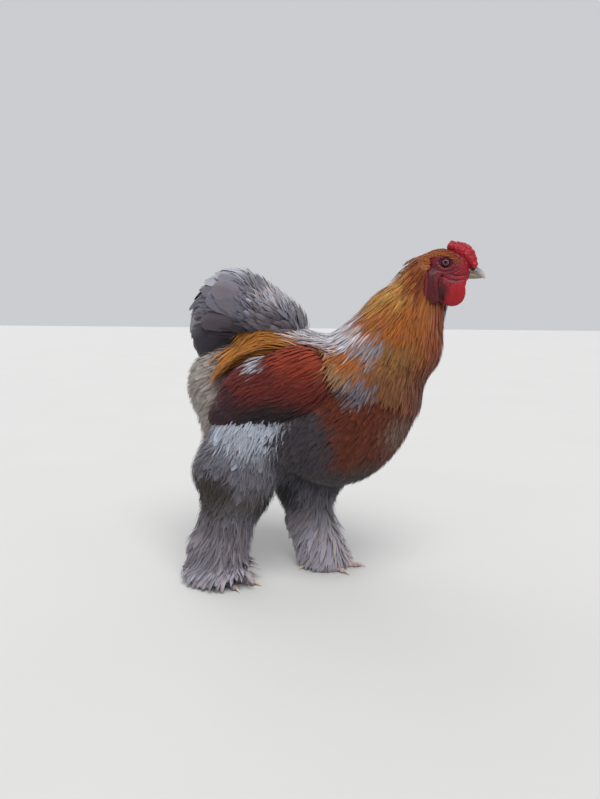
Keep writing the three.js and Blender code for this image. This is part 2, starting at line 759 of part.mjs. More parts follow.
// The origin goes to the floor, under the middle of the box
const box = new THREE.Box3().setFromObject(bird);
const middle = box.getCenter(vec(0, 0, 0));
bird.position.set(-middle.x, -middle.y, -box.min.z);

export default bird;
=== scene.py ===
# A Brahma cock, life size, that stands with its left foot forward and its right foot trailing. Lengths are in
# metres, or in millimetres where a comment says so. X points to the beak, Y to the bird's left and Z up, and
# the floor is at 0.
import math

import bmesh
import bpy
import numpy as np
from mathutils import Matrix, Vector, kdtree


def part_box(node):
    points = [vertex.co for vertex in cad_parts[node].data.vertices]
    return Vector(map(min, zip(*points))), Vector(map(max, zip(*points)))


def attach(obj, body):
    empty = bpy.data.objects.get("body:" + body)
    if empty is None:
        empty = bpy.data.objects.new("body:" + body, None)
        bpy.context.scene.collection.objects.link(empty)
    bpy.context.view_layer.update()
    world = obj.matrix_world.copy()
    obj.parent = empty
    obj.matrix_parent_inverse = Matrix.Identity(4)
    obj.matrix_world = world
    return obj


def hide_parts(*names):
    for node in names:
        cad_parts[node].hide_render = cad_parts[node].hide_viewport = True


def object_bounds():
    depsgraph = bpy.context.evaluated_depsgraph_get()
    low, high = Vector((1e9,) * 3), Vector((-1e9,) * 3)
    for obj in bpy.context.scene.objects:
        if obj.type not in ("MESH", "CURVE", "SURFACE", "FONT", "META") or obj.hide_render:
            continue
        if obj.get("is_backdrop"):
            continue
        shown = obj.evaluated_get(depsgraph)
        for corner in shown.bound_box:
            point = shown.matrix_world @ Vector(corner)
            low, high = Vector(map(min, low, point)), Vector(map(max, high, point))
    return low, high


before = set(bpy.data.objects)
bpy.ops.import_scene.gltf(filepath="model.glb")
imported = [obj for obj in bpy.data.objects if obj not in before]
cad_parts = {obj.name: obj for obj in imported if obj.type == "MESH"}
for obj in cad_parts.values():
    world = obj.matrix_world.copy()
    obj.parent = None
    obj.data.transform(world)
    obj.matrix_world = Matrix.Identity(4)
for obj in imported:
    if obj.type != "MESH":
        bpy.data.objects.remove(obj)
cad_low, cad_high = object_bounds()

# Camera, floor and light
# The cock is seen from its right side, a little ahead of its middle, from the height of its back. The floor
# is plain and pale, and the light is broad and soft as in a studio. All places are measured from the point
# between the bird's feet, and STAND carries them into the frame, found from where the frame holds the eyes.
PHOTO_WIDTH = 600
PHOTO_HEIGHT = 799
FOCAL_PIXELS = 600
HORIZON_ROW = 305
AIM_COLUMN = 315
CAMERA_YAW = math.radians(12)
CAMERA_DISTANCE = 1.08
CAMERA_HEIGHT = 0.509
SENSOR = 36
FLOOR_REACH = 12
DAYLIGHT = 0.74
# Each lamp's name, the way it shines from, its breadth in degrees and its strength
LAMPS = [("key", (0.55, -1.0, 1.9), 34, 2.35), ("fill", (-1.2, 0.9, 1.0), 60, 0.55)]
EYE_AT = np.array((0.223, 0.0175, 0.578))
eye_low, eye_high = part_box("eye_left")
STAND = np.array((eye_low + eye_high) / 2) - EYE_AT


def linear(code):
    """A colour written as six hex digits, as linear red, green and blue"""
    shares = [int(code[i : i + 2], 16) / 255 for i in (0, 2, 4)]
    return np.array([s / 12.92 if s <= 0.04045 else ((s + 0.055) / 1.055) ** 2.4 for s in shares])


def opaque(code):
    return (*linear(code), 1)


def wire(tree, node, inputs):
    """Sets or links a node's inputs"""
    for socket, value in inputs.items():
        if isinstance(value, bpy.types.NodeSocket):
            tree.links.new(value, node.inputs[socket])
        else:
            node.inputs[socket].default_value = value


def add(tree, kind, inputs, out=0, **settings):
    """Adds a node with its settings and inputs, and gives one of its outputs"""
    made = tree.nodes.new("ShaderNode" + kind)
    for name, value in settings.items():
        setattr(made, name, value)
    wire(tree, made, inputs)
    return made.outputs[out]


def new_material(name):
    """A material, its tree, and its shader, which is linked to the output already"""
    material = bpy.data.materials.new(name)
    material.use_nodes = True
    return material, material.node_tree, material.node_tree.nodes["Principled BSDF"]


scene = bpy.context.scene
scene.view_settings.view_transform = "Standard"
camera = bpy.data.objects.new("camera", bpy.data.cameras.new("camera"))
scene.collection.objects.link(camera)
scene.camera = camera
camera.data.sensor_fit = "AUTO"
camera.data.sensor_width = SENSOR
camera.data.lens = SENSOR * FOCAL_PIXELS / PHOTO_HEIGHT
camera.data.clip_start = 0.01
turn = CAMERA_YAW + math.atan((AIM_COLUMN - PHOTO_WIDTH / 2) / FOCAL_PIXELS)
pitch = math.atan((PHOTO_HEIGHT / 2 - HORIZON_ROW) / FOCAL_PIXELS)
camera.rotation_euler = (math.pi / 2 - pitch, 0, turn)
camera.location = STAND + CAMERA_DISTANCE * np.array((math.sin(CAMERA_YAW), -math.cos(CAMERA_YAW), 0))
camera.location.z = CAMERA_HEIGHT

corners = [(x * FLOOR_REACH, y * FLOOR_REACH, 0) for x, y in ((-1, -1), (1, -1), (1, 1), (-1, 1))]
floor = bpy.data.objects.new("floor", bpy.data.meshes.new("floor"))
floor.data.from_pydata(corners, [], [(0, 1, 2, 3)])
scene.collection.objects.link(floor)
material, tree, shader = new_material("pale_floor")
grain = add(tree, "TexNoise", {"Scale": 60, "Detail": 3})
pale = add(tree, "MixRGB", {0: grain, 1: opaque("C6C5C3"), 2: opaque("CBCAC8")})
wire(tree, shader, {"Base Color": pale, "Roughness": 0.9})
floor.data.materials.append(material)
floor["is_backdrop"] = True

world = bpy.data.worlds.new("studio")
scene.world = world
world.use_nodes = True
wire(world.node_tree, world.node_tree.nodes["Background"], {0: opaque("E8EAEE"), 1: DAYLIGHT})
for name, place, breadth, strength in LAMPS:
    light = bpy.data.lights.new(name, "SUN")
    light.angle = math.radians(breadth)
    light.energy = strength
    lamp = bpy.data.objects.new(name, light)
    lamp.rotation_euler = Vector(place).to_track_quat("Z", "Y").to_euler()
    scene.collection.objects.link(lamp)

# Skin
# Under its plumage the cock is one body of flesh. Its skin is bare and red on the face, comb and wattles and
# scaly on the toes. Everywhere else it lies under the feathers by their depth, and takes their colours in
# shade.

# Each part is a soft form of ellipsoids that run into one another. A form's field is negative inside, 0 on
# its surface and about the distance outside.
PROBE = 0.0004
FIELD_MARGIN = 0.05
NO_LESS = 1e-6


def near_only(evaluate, low, high):
    """A field that is worked out near its own box, and is infinitely far off elsewhere"""

    def field(points):
        near = np.all((points > low - FIELD_MARGIN) & (points < high + FIELD_MARGIN), axis=1)
        values = np.full(len(points), np.inf)
        if near.any():
            values[near] = evaluate(points[near])
        return values

    field.low, field.high = low, high
    return field


def ellipsoid(centre, radii, pitch=0.0):
    """The field of one ellipsoid, whose front is lifted by its pitch"""
    centre, radii, pitch = np.array(centre), np.array(radii), math.radians(pitch)

    def evaluate(points):
        x, y, z = (points - centre).T
        along = x * math.cos(pitch) + z * math.sin(pitch)
        up = z * math.cos(pitch) - x * math.sin(pitch)
        scaled = np.stack((along, y, up), 1) / radii
        share = np.linalg.norm(scaled, axis=1)
        return share * (share - 1) / np.maximum(np.linalg.norm(scaled / radii, axis=1), NO_LESS)

    return near_only(evaluate, centre - radii.max(), centre + radii.max())


def bulge(x, y, z, long, wide, high, pitch=0.0):
    """An ellipsoid from its middle and radii in millimetres"""
    return ellipsoid((x / 1000, y / 1000, z / 1000), (long / 1000, wide / 1000, high / 1000), pitch)


def union(blend, *fields):
    """The field of forms that run into one another"""

    def evaluate(points):
        return -blend * np.logaddexp.reduce([field(points) / -blend for field in fields])

    low = np.min([field.low for field in fields], axis=0)
    high = np.max([field.high for field in fields], axis=0)
    return near_only(evaluate, low, high)


def grown(field, by):
    return near_only(lambda points: field(points) - by, field.low, field.high)


def unit(vectors):
    return vectors / np.maximum(np.linalg.norm(vectors, axis=-1, keepdims=True), 1e-9)


def slope(field, points):
    """A field's value at each point, and the way it rises there"""
    here = field(points)
    rise = [(field(points + PROBE * axis) - here) / PROBE for axis in np.eye(3)]
    return here, np.stack(rise, 1)


def settle(field, points, height, most):
    """Moves points to a height over a field, each by no more than a given distance, and gives the way up"""
    here, rise = slope(field, points)
    move = rise * ((height - here) / np.maximum((rise**2).sum(1), NO_LESS))[:, None]
    far = np.linalg.norm(move, axis=1, keepdims=True)
    return points + move * np.minimum(1, most / np.maximum(far, 1e-9)), unit(rise)


TORSO = union(
    0.014,
    bulge(82, 0, 330, 138, 98, 100, 66),
    bulge(40, 0, 268, 86, 84, 78, 30),
    bulge(-30, 0, 338, 160, 106, 118, 2),
    bulge(-158, 0, 362, 86, 80, 84),
    bulge(-118, 0, 290, 92, 88, 76),
    bulge(-80, 0, 425, 72, 60, 56, -24),
)
NECK = union(
    0.008,
    bulge(92, 0, 402, 84, 78, 84),
    bulge(128, 0, 430, 84, 76, 84),
    bulge(158, 0, 474, 66, 58, 66),
    bulge(180, 0, 512, 50, 40, 48),
    bulge(190, 0, 546, 38, 24, 37),
)
HEAD = union(
    0.005,
    bulge(219, 0, 577, 31, 22, 24, -8),
    bulge(238, 0, 566, 27, 18, 20, -18),
    bulge(224, 0, 550, 24, 18, 26),
    bulge(205, 0, 548, 19, 24, 27),
)
TAIL = union(
    0.012,
    bulge(-146, 0, 504, 74, 62, 74, -30),
    bulge(-188, 0, 462, 44, 54, 68, 10),
    bulge(-106, 0, 474, 56, 62, 58, -40),
)
# Loose coverts fill the hollow between the tail and the back
COVERTS = bulge(-58, 0, 487, 60, 50, 34, -42)

SIDES = {"left": 1, "right": -1}
WINGS, WATTLES, LOBES = {}, {}, {}
for name, side in SIDES.items():
    WINGS[name] = union(
        0.008,
        bulge(-2, side * 90, 390, 52, 24, 56, 20),
        bulge(-60, side * 95, 367, 90, 22, 60, 16),
        bulge(-108, side * 88, 328, 66, 16, 38, 14),
    )
    WATTLES[name] = union(
        0.003,
        bulge(243, side * 12, 548, 14, 6, 12, -20),
        bulge(237, side * 17, 528, 20, 6, 21, -12),
        bulge(222, side * 19, 532, 15, 6, 20, 8),
    )
    LOBES[name] = union(
        0.003, bulge(199, side * 22, 556, 9, 5, 10), bulge(203, side * 25, 534, 13, 5.5, 22, 8)
    )

# The haunch, the boot and the dome of foot feathers are ellipsoids, in millimetres
LEGS = {
    "left": {
        "hip": (0.0, 0.062, 0.265),
        "knee": (0.004, 0.062, 0.215),
        "hock": (-0.014, 0.054, 0.165),
        "ankle": (0.009, 0.046, 0.026),
        "heading": 6,
        "dome": (10, 56, 12, 50, 44, 28),
        "haunch": [(-46, 56, 212, 54, 40, 50), (-56, 52, 158, 36, 28, 44, 30)],
        "boot": [(-26, 52, 105, 40, 34, 60), (0, 50, 50, 46, 40, 40)],
    },
    "right": {
        "hip": (-0.100, -0.064, 0.275),
        "knee": (-0.128, -0.066, 0.215),
        "hock": (-0.116, -0.060, 0.168),
        "ankle": (-0.166, -0.060, 0.026),
        "heading": -4,
        "dome": (-154, -66, 12, 80, 50, 26),
        "haunch": [(-160, -64, 212, 46, 48, 52)],
        "boot": [(-154, -62, 124, 48, 36, 50), (-172, -62, 62, 54, 42, 44)],
    },
}
THIGH_RADII = {"hip": (0.074, 0.050, 0.072), "knee": (0.080, 0.052, 0.056), "hock": (0.046, 0.038, 0.036)}
SHANK_RADII = (0.030, 0.024)
SHANK_HEIGHT = 0.022
SHANK_SHARES = (0, 0.22, 0.44, 0.66, 0.86)
# Each toe's heading from the foot's own, towards the outside, and its length to the root of its claw
TOES = {"inner": (-36, 0.052), "middle": (2, 0.068), "outer": (36, 0.054), "hind": (-150, 0.040)}
TOE_RADIUS = 0.0065
TOE_TAPER = 0.22
PAD_LENGTH = 0.0095
PAD_STRETCH = 1.08
PAD_SUNK = 0.0006
HEEL_RADII = (0.014, 0.014, 0.016)
HEEL_HEIGHT = 0.014
ANKLE_RADII = (0.011, 0.011, 0.018)
FLAT = np.array((1, 1, 0))


def toe_heading(leg, side, toe):
    angle = math.radians(leg["heading"] + side * TOES[toe][0])
    return np.array((math.cos(angle), math.sin(angle), 0))


THIGHS, SHANKS, FEET = {}, {}, {}
for name, leg in LEGS.items():
    haunch = [bulge(*form) for form in leg["haunch"]]
    joints = [ellipsoid(leg[joint], radii) for joint, radii in THIGH_RADII.items()]
    THIGHS[name] = union(0.010, *joints, *haunch)
    hock, ankle = np.array(leg["hock"]), np.array(leg["ankle"])
    beads = []
    for share in SHANK_SHARES:
        radius = SHANK_RADII[0] + (SHANK_RADII[1] - SHANK_RADII[0]) * share
        beads.append(ellipsoid(hock + (ankle - hock) * share, (radius, radius, SHANK_HEIGHT)))
    SHANKS[name] = union(0.008, *beads, *[bulge(*form) for form in leg["boot"]])
    # A foot is the ankle and four toes, each a row of pads that thins towards its claw
    pads = [ellipsoid(ankle * FLAT + (0, 0, HEEL_HEIGHT), HEEL_RADII), ellipsoid(ankle, ANKLE_RADII)]
    for toe, (_, length) in TOES.items():
        count = round(length / PAD_LENGTH)
        for pad in range(1, count + 1):
            radius = TOE_RADIUS * (1 - TOE_TAPER * pad / count)
            x, y, _ = ankle + toe_heading(leg, SIDES[name], toe) * (length * pad / count - TOE_RADIUS / 2)
            pads.append(ellipsoid((x, y, radius - PAD_SUNK), (radius * PAD_STRETCH, radius, radius)))
    FEET[name] = union(0.0014, *pads)

# The pea comb is a low base with three rows of bulbs, the middle row the tallest. Each row rises and falls in
# an arch, and its bulbs are larger where it is high and a little uneven.
COMB_BACK = np.array((0.226, 0, 0.602))
COMB_FRONT = np.array((0.267, 0, 0.570))
COMB_UP = np.array((0.62, 0, 0.78))
COMB_BASE = (0.026, 0.011, 0.013)
# Each row's place to the side, its count of bulbs, their height and their radius
COMB_ROWS = [(0, 7, 0.0170, 0.0068), (0.0090, 6, 0.0095, 0.0060), (-0.0090, 6, 0.0095, 0.0060)]
ARCH_FROM, ARCH_TURN = 0.16, 0.72
ROW_FROM, ROW_LENGTH = 0.02, 0.96
BULB_SIZE, BULB_SWELL, BULB_UNEVEN = 0.72, 0.30, 0.08
BULB_SHAPE = np.array((1, 0.9, 1.15))
comb_run = COMB_FRONT - COMB_BACK
comb_fall = math.degrees(math.atan2(comb_run[2], comb_run[0]))
comb_beads = [ellipsoid((COMB_BACK + COMB_FRONT) / 2, COMB_BASE, comb_fall)]
for aside, bulbs, height, radius in COMB_ROWS:
    for bulb in range(bulbs):
        share = bulb / (bulbs - 1)
        arch = math.sin(math.pi * (ARCH_FROM + ARCH_TURN * share))
        at = COMB_BACK + comb_run * (ROW_FROM + ROW_LENGTH * share) + COMB_UP * height * arch
        at[1] = aside
        size = BULB_SIZE + BULB_SWELL * arch + BULB_UNEVEN * math.sin(5 * bulb + 1000 * aside)
        comb_beads.append(ellipsoid(at, radius * size * BULB_SHAPE))
COMB = union(0.0010, *comb_beads)

# The skin lies this deep under the tips of the feathers
COAT_DEPTH = {"torso": 0.013, "neck": 0.013, "tail": 0.018, "wing": 0.007, "thigh": 0.014, "shank": 0.011}


def each_side(kind, forms):
    return {f"{kind}_{side}": form for side, form in forms.items()}


PARTS = {"torso": union(0.010, TORSO, COVERTS), "neck": NECK, "tail": TAIL}
PARTS |= each_side("wing", WINGS) | each_side("thigh", THIGHS) | each_side("shank", SHANKS)
PARTS = {name: grown(form, -COAT_DEPTH[name.split("_")[0]]) for name, form in PARTS.items()}
body_form = union(0.009, *PARTS.values())
feet = each_side("foot", FEET)
folds = each_side("wattle", WATTLES) | each_side("lobe", LOBES)
PARTS |= {"head": HEAD, **feet, "comb": COMB, **folds}
bare_form = union(0.0020, HEAD, *folds.values())
fine_form = union(0.0012, bare_form, COMB)
whole_form = union(0.0025, body_form, fine_form, *feet.values())
BARE = ("head", "comb", "wattle", "lobe", "foot")


def flesh(points):
    """The whole body's field, with all below the floor cut away"""
    return np.maximum(whole_form(points), -points[:, 2])


# Each part starts as a shell: a ball's grid, pulled out from a line inside the part
SEARCH_STEP = 0.008
SEARCH_END = 0.4
SEARCH_HALVINGS = 10
FOOT_INSET, TOE_INSET = 0.012, 0.005
LINES = {
    "torso": ((-0.150, 0, 0.345), (0.095, 0, 0.330)),
    "neck": ((0.100, 0, 0.395), (0.192, 0, 0.545)),
    "tail": ((-0.120, 0, 0.470), (-0.165, 0, 0.500)),
    "head": ((0.212, 0, 0.562), (0.240, 0, 0.565)),
    "comb": (COMB_BACK, COMB_FRONT),
}
for name, side in SIDES.items():
    leg = LEGS[name]
    LINES[f"wing_{name}"] = ((0.014, side * 0.092, 0.382), (-0.120, side * 0.092, 0.335))
    LINES[f"wattle_{name}"] = ((0.240, side * 0.014, 0.545), (0.232, side * 0.018, 0.526))
    LINES[f"lobe_{name}"] = ((0.200, side * 0.023, 0.554), (0.204, side * 0.025, 0.528))
    LINES[f"thigh_{name}"] = (leg["hip"], leg["hock"])
    LINES[f"shank_{name}"] = (leg["hock"], leg["ankle"])


def reach(field, start, direction, level=0.0):
    """Where each straight search from inside a field meets a level of the field"""
    outer = np.full(len(start), SEARCH_END)
    found = np.zeros(len(start), bool)
    for distance in np.arange(0, SEARCH_END, SEARCH_STEP):
        hit = ~found & (field(start + direction * distance) >= level)
        outer[hit] = distance
        found |= hit
    inner = np.maximum(outer - SEARCH_STEP, 0)
    for _ in range(SEARCH_HALVINGS):
        middle = (inner + outer) / 2
        above = field(start + direction * middle[:, None]) >= level
        outer, inner = np.where(above, middle, outer), np.where(above, inner, middle)
    return start + direction * inner[:, None]


def axes_of(low, high):
    """A line's own direction, and the two ways across it"""
    axis = unit(high - low)
    side = unit(np.array((0, 1, 0)) - axis * axis[1])
    return axis, side, np.cross(side, axis)


shell_points, shell_faces = [], []


def add_shell(field, low, high, around=40, along=24):
    low, high = np.array(low, float), np.array(high, float)
    axis, side, third = axes_of(low, high)
    tilt = np.repeat(np.linspace(-1, 1, along + 1) * math.pi / 2, around)
    spin = np.tile(np.arange(around) * 2 * math.pi / around, along + 1)
    across = np.cos(tilt)
    direction = np.outer(np.sin(tilt), axis) + np.outer(across * np.cos(spin), side)
    direction += np.outer(across * np.sin(spin), third)
    base = sum(len(group) for group in shell_points)
    shell_points.append(reach(field, low + np.outer((1 + np.sin(tilt)) / 2, high - low), direction))
    for ring in range(along):
        for place in range(around):
            a, b = base + ring * around + place, base + ring * around + (place + 1) % around
            shell_faces.append((a, b, b + around, a + around))


for name, field in PARTS.items():
    if name in LINES:
        add_shell(field, *LINES[name])
for name, leg in LEGS.items():
    ankle = np.array(leg["ankle"])
    add_shell(FEET[name], ankle * FLAT + (0, 0, FOOT_INSET), ankle, around=20, along=10)
    for toe, (_, length) in TOES.items():
        heading = toe_heading(leg, SIDES[name], toe)
        root = ankle * FLAT + (0, 0, TOE_INSET)
        add_shell(FEET[name], root + heading * FOOT_INSET, root + heading * (length - TOE_INSET), around=16)

# The shells run together in fine cubes, and the result is drawn onto the whole body's field. The head's faces
# are cut finer, and those round the eyes finer still.
VOXEL = 0.0050
MERGED = 1e-5
DRAWING_TURNS = 5
DRAWING_STEP = 0.003
HEAD_BOX = ((0.186, -0.04, 0.500), (0.290, 0.04, 0.640))
FACE_BOX = ((0.196, -0.04, 0.502), (0.290, 0.04, 0.640))
EYE_BOX = np.array(((0.205, 0.010, 0.561), (0.241, 0.030, 0.595)))
TOES_BOX = ((-0.26, -0.14, -0.010), (0.10, 0.14, 0.030))

rough_mesh = bpy.data.meshes.new("rough_body")
rough_mesh.from_pydata([tuple(point) for point in np.concatenate(shell_points)], [], shell_faces)
edit = bmesh.new()
edit.from_mesh(rough_mesh)
bmesh.ops.remove_doubles(edit, verts=edit.verts, dist=MERGED)
bmesh.ops.dissolve_degenerate(edit, edges=edit.edges, dist=NO_LESS)
bmesh.ops.recalc_face_normals(edit, faces=edit.faces)
edit.to_mesh(rough_mesh)
edit.free()
rough = bpy.data.objects.new("rough_body", rough_mesh)
scene.collection.objects.link(rough)
remesh = rough.modifiers.new("remesh", "REMESH")
remesh.mode = "VOXEL"
remesh.voxel_size = VOXEL
skin_mesh = bpy.data.meshes.new_from_object(rough.evaluated_get(bpy.context.evaluated_depsgraph_get()))
bpy.data.objects.remove(rough)


def refine(low, high, cuts):
    edit = bmesh.new()
    edit.from_mesh(skin_mesh)
    inside = [all(l <= c <= h for l, c, h in zip(low, vertex.co, high)) for vertex in edit.verts]
    edges = [edge for edge in edit.edges if all(inside[vertex.index] for vertex in edge.verts)]
    bmesh.ops.subdivide_edges(edit, edges=edges, cuts=cuts, use_grid_fill=True)
    bmesh.ops.triangulate(edit, faces=[face for face in edit.faces if len(face.verts) > 4])
    edit.to_mesh(skin_mesh)
    edit.free()


refine(*HEAD_BOX, 2)
refine(*FACE_BOX, 1)
for side in SIDES.values():
    refine(*np.sort(EYE_BOX * (1, side, 1), axis=0), 1)
refine(*TOES_BOX, 1)
flat_points = np.empty(len(skin_mesh.vertices) * 3, np.float32)
skin_mesh.vertices.foreach_get("co", flat_points)
flat_points = flat_points.reshape(-1, 3).astype(float)
for _ in range(DRAWING_TURNS):
    flat_points, _ = settle(flesh, flat_points, 0, DRAWING_STEP)

# The face's relief: creases part the wattle, the lobe and the cheek, and the mouth's corner runs back from
# the bill. Each has its depth, the width of its slope, and its line as seen from the side.
CREASES = [
    (0.0016, 0.0012, ((0.256, 0.5580), (0.247, 0.5560), (0.239, 0.5562), (0.232, 0.5585))),
    (0.0014, 0.0016, ((0.252, 0.5500), (0.241, 0.5485), (0.230, 0.5500), (0.218, 0.5560))),
    (0.0022, 0.0026, ((0.2175, 0.556), (0.2150, 0.545), (0.2160, 0.532), (0.2200, 0.516))),
    (0.0009, 0.0013, ((0.241, 0.5690), (0.233, 0.5640), (0.222, 0.5625), (0.210, 0.5650))),
    (0.0008, 0.0010, ((0.246, 0.5660), (0.240, 0.5620), (0.228, 0.5590))),
    (0.0008, 0.0016, ((0.232, 0.5420), (0.229, 0.5320), (0.230, 0.5200))),
    (0.0007, 0.0014, ((0.243, 0.5400), (0.242, 0.5300), (0.238, 0.5200))),
    (0.0008, 0.0014, ((0.204, 0.5560), (0.203, 0.5420), (0.206, 0.5260))),
    (0.0008, 0.0012, ((0.209, 0.5740), (0.203, 0.5680), (0.201, 0.5600))),
]
CREASE_FROM_MIDDLE = 0.006

# The lids open on an almond, longer than it is high, and lie close over the ball of the eye
EYE_RADIUS = 0.0072
EYE_OPENING = (0.0063, 0.0047)
EYE_TILT = math.radians(-10)
EYE_CORNERS = 1.75
SOCKET_DEPTH = 0.003
LID_RISE = 0.0013
LID_REACH = (1.30, 2.30)
LID_MARGIN = 0.5
# Each fold's place, in shares of the opening, its width and its depth
LID_FOLDS = [(1.62, 0.13, 0.0007), (2.15, 0.16, 0.0006)]
LID_WRINKLES = 13
LID_WRINKLE_DEPTH = 0.00014
LIDS_WRINKLE = (1.1, 1.5)
LIDS_SMOOTH = (2, 2.6)
RIPPLE_WAVES = 7
RIPPLE_STARTS = 7
RIPPLE_CALM = 1.5
RIPPLE_FADE = 0.002
# The lumps of the comb and of the bare face: their form, their size and their height
RIPPLES = [(COMB, 0.0048, 0.0007), (bare_form, 0.0042, 0.0002)]


def smooth_step(low, high, value):
    share = np.clip((value - low) / (high - low), 0, 1)
    return share * share * (3 - 2 * share)


def off_line(x, z, line):
    """How far points lie from a line of straight stretches, seen from the side"""
    nearest = np.full(len(x), np.inf)
    for start, end in zip(line, line[1:]):
        start, run = np.array(start), np.array(end) - start
        share = np.clip(((x - start[0]) * run[0] + (z - start[1]) * run[1]) / (run @ run), 0, 1)
        nearest = np.minimum(nearest, np.hypot(x - start[0] - share * run[0], z - start[1] - share * run[1]))
    return nearest


def ripple(points, size, seed):
    """Soft lumps of about one size, from -1 to 1"""
    draw = np.random.default_rng(seed)
    ways = unit(draw.normal(size=(RIPPLE_WAVES, 3))) * 2 * math.pi / size
    waves = np.sin(points @ ways.T + draw.uniform(0, RIPPLE_STARTS, RIPPLE_WAVES))
    return waves.sum(1) / RIPPLE_WAVES**0.5 / RIPPLE_CALM


def lid_share(x, z):
    """How far out points lie round an eye, 1 at the lids' edge, the angle round it, and the distance"""
    forward, up = x - EYE_AT[0], z - EYE_AT[2]
    along = forward * math.cos(EYE_TILT) + up * math.sin(EYE_TILT)
    across = up * math.cos(EYE_TILT) - forward * math.sin(EYE_TILT)
    share = np.abs(along / EYE_OPENING[0]) ** EYE_CORNERS + np.abs(across / EYE_OPENING[1]) ** EYE_CORNERS
    return share ** (1 / EYE_CORNERS), np.arctan2(across, along), np.hypot(forward, up)


def carve_face(points):
    """Presses creases, folds and lids into the skin of the head, and gives how deep each point is pressed"""
    carved, depth = points.copy(), np.zeros(len(points))
    inside = np.flatnonzero(np.all((points > HEAD_BOX[0]) & (points < HEAD_BOX[1]), axis=1))
    place = points[inside]
    _, rise = slope(flesh, place)
    x, y, z = place[:, 0], np.abs(place[:, 1]), place[:, 2]
    aside = smooth_step(CREASE_FROM_MIDDLE / 2, CREASE_FROM_MIDDLE, y)
    pressed, lumps = np.zeros(len(place)), np.zeros(len(place))
    for deep, width, line in CREASES:
        pressed += deep * aside * np.exp(-((off_line(x, z, line) / width) ** 2))
    for index, (form, size, high) in enumerate(RIPPLES):
        on = np.exp(-np.maximum(form(place) / RIPPLE_FADE, 0) ** 2)
        lumps += on * high * ripple(place, size, index)
    place = place + unit(rise) * (lumps - pressed)[:, None]
    share, angle, far = lid_share(x, z)
    near = (share < LID_REACH[1] + LID_MARGIN) & (y > EYE_BOX[0][1])
    ball = EYE_AT[1] + np.sqrt(np.maximum(EYE_RADIUS**2 - far**2, 0))
    flat = 1 - smooth_step(*LID_REACH, share)
    level = np.abs(place[:, 1]) * (1 - flat) + (ball + LID_RISE) * flat
    for at, width, deep in LID_FOLDS:
        groove = deep * np.exp(-(((share - at) / width) ** 2))
        level -= groove
        pressed += groove * near
    wrinkled = smooth_step(*LIDS_WRINKLE, share) * (1 - smooth_step(*LIDS_SMOOTH, share))
    level += LID_WRINKLE_DEPTH * np.sin(LID_WRINKLES * angle) * wrinkled
    level = np.where(share < 1, ball - SOCKET_DEPTH, level)
    place[:, 1] = np.where(near, np.sign(place[:, 1]) * level, place[:, 1])
    carved[inside], depth[inside] = place, pressed
    return carved, depth


def fill(items, key, values, kind=np.float32):
    """Sets one property of all of a mesh's points, corners or faces"""
    items.foreach_set(key, np.asarray(values).astype(kind).ravel())


skin_points, skin_creases = carve_face(flat_points)
fill(skin_mesh.vertices, "co", skin_points)
print("skin", len(skin_mesh.polygons), "faces")

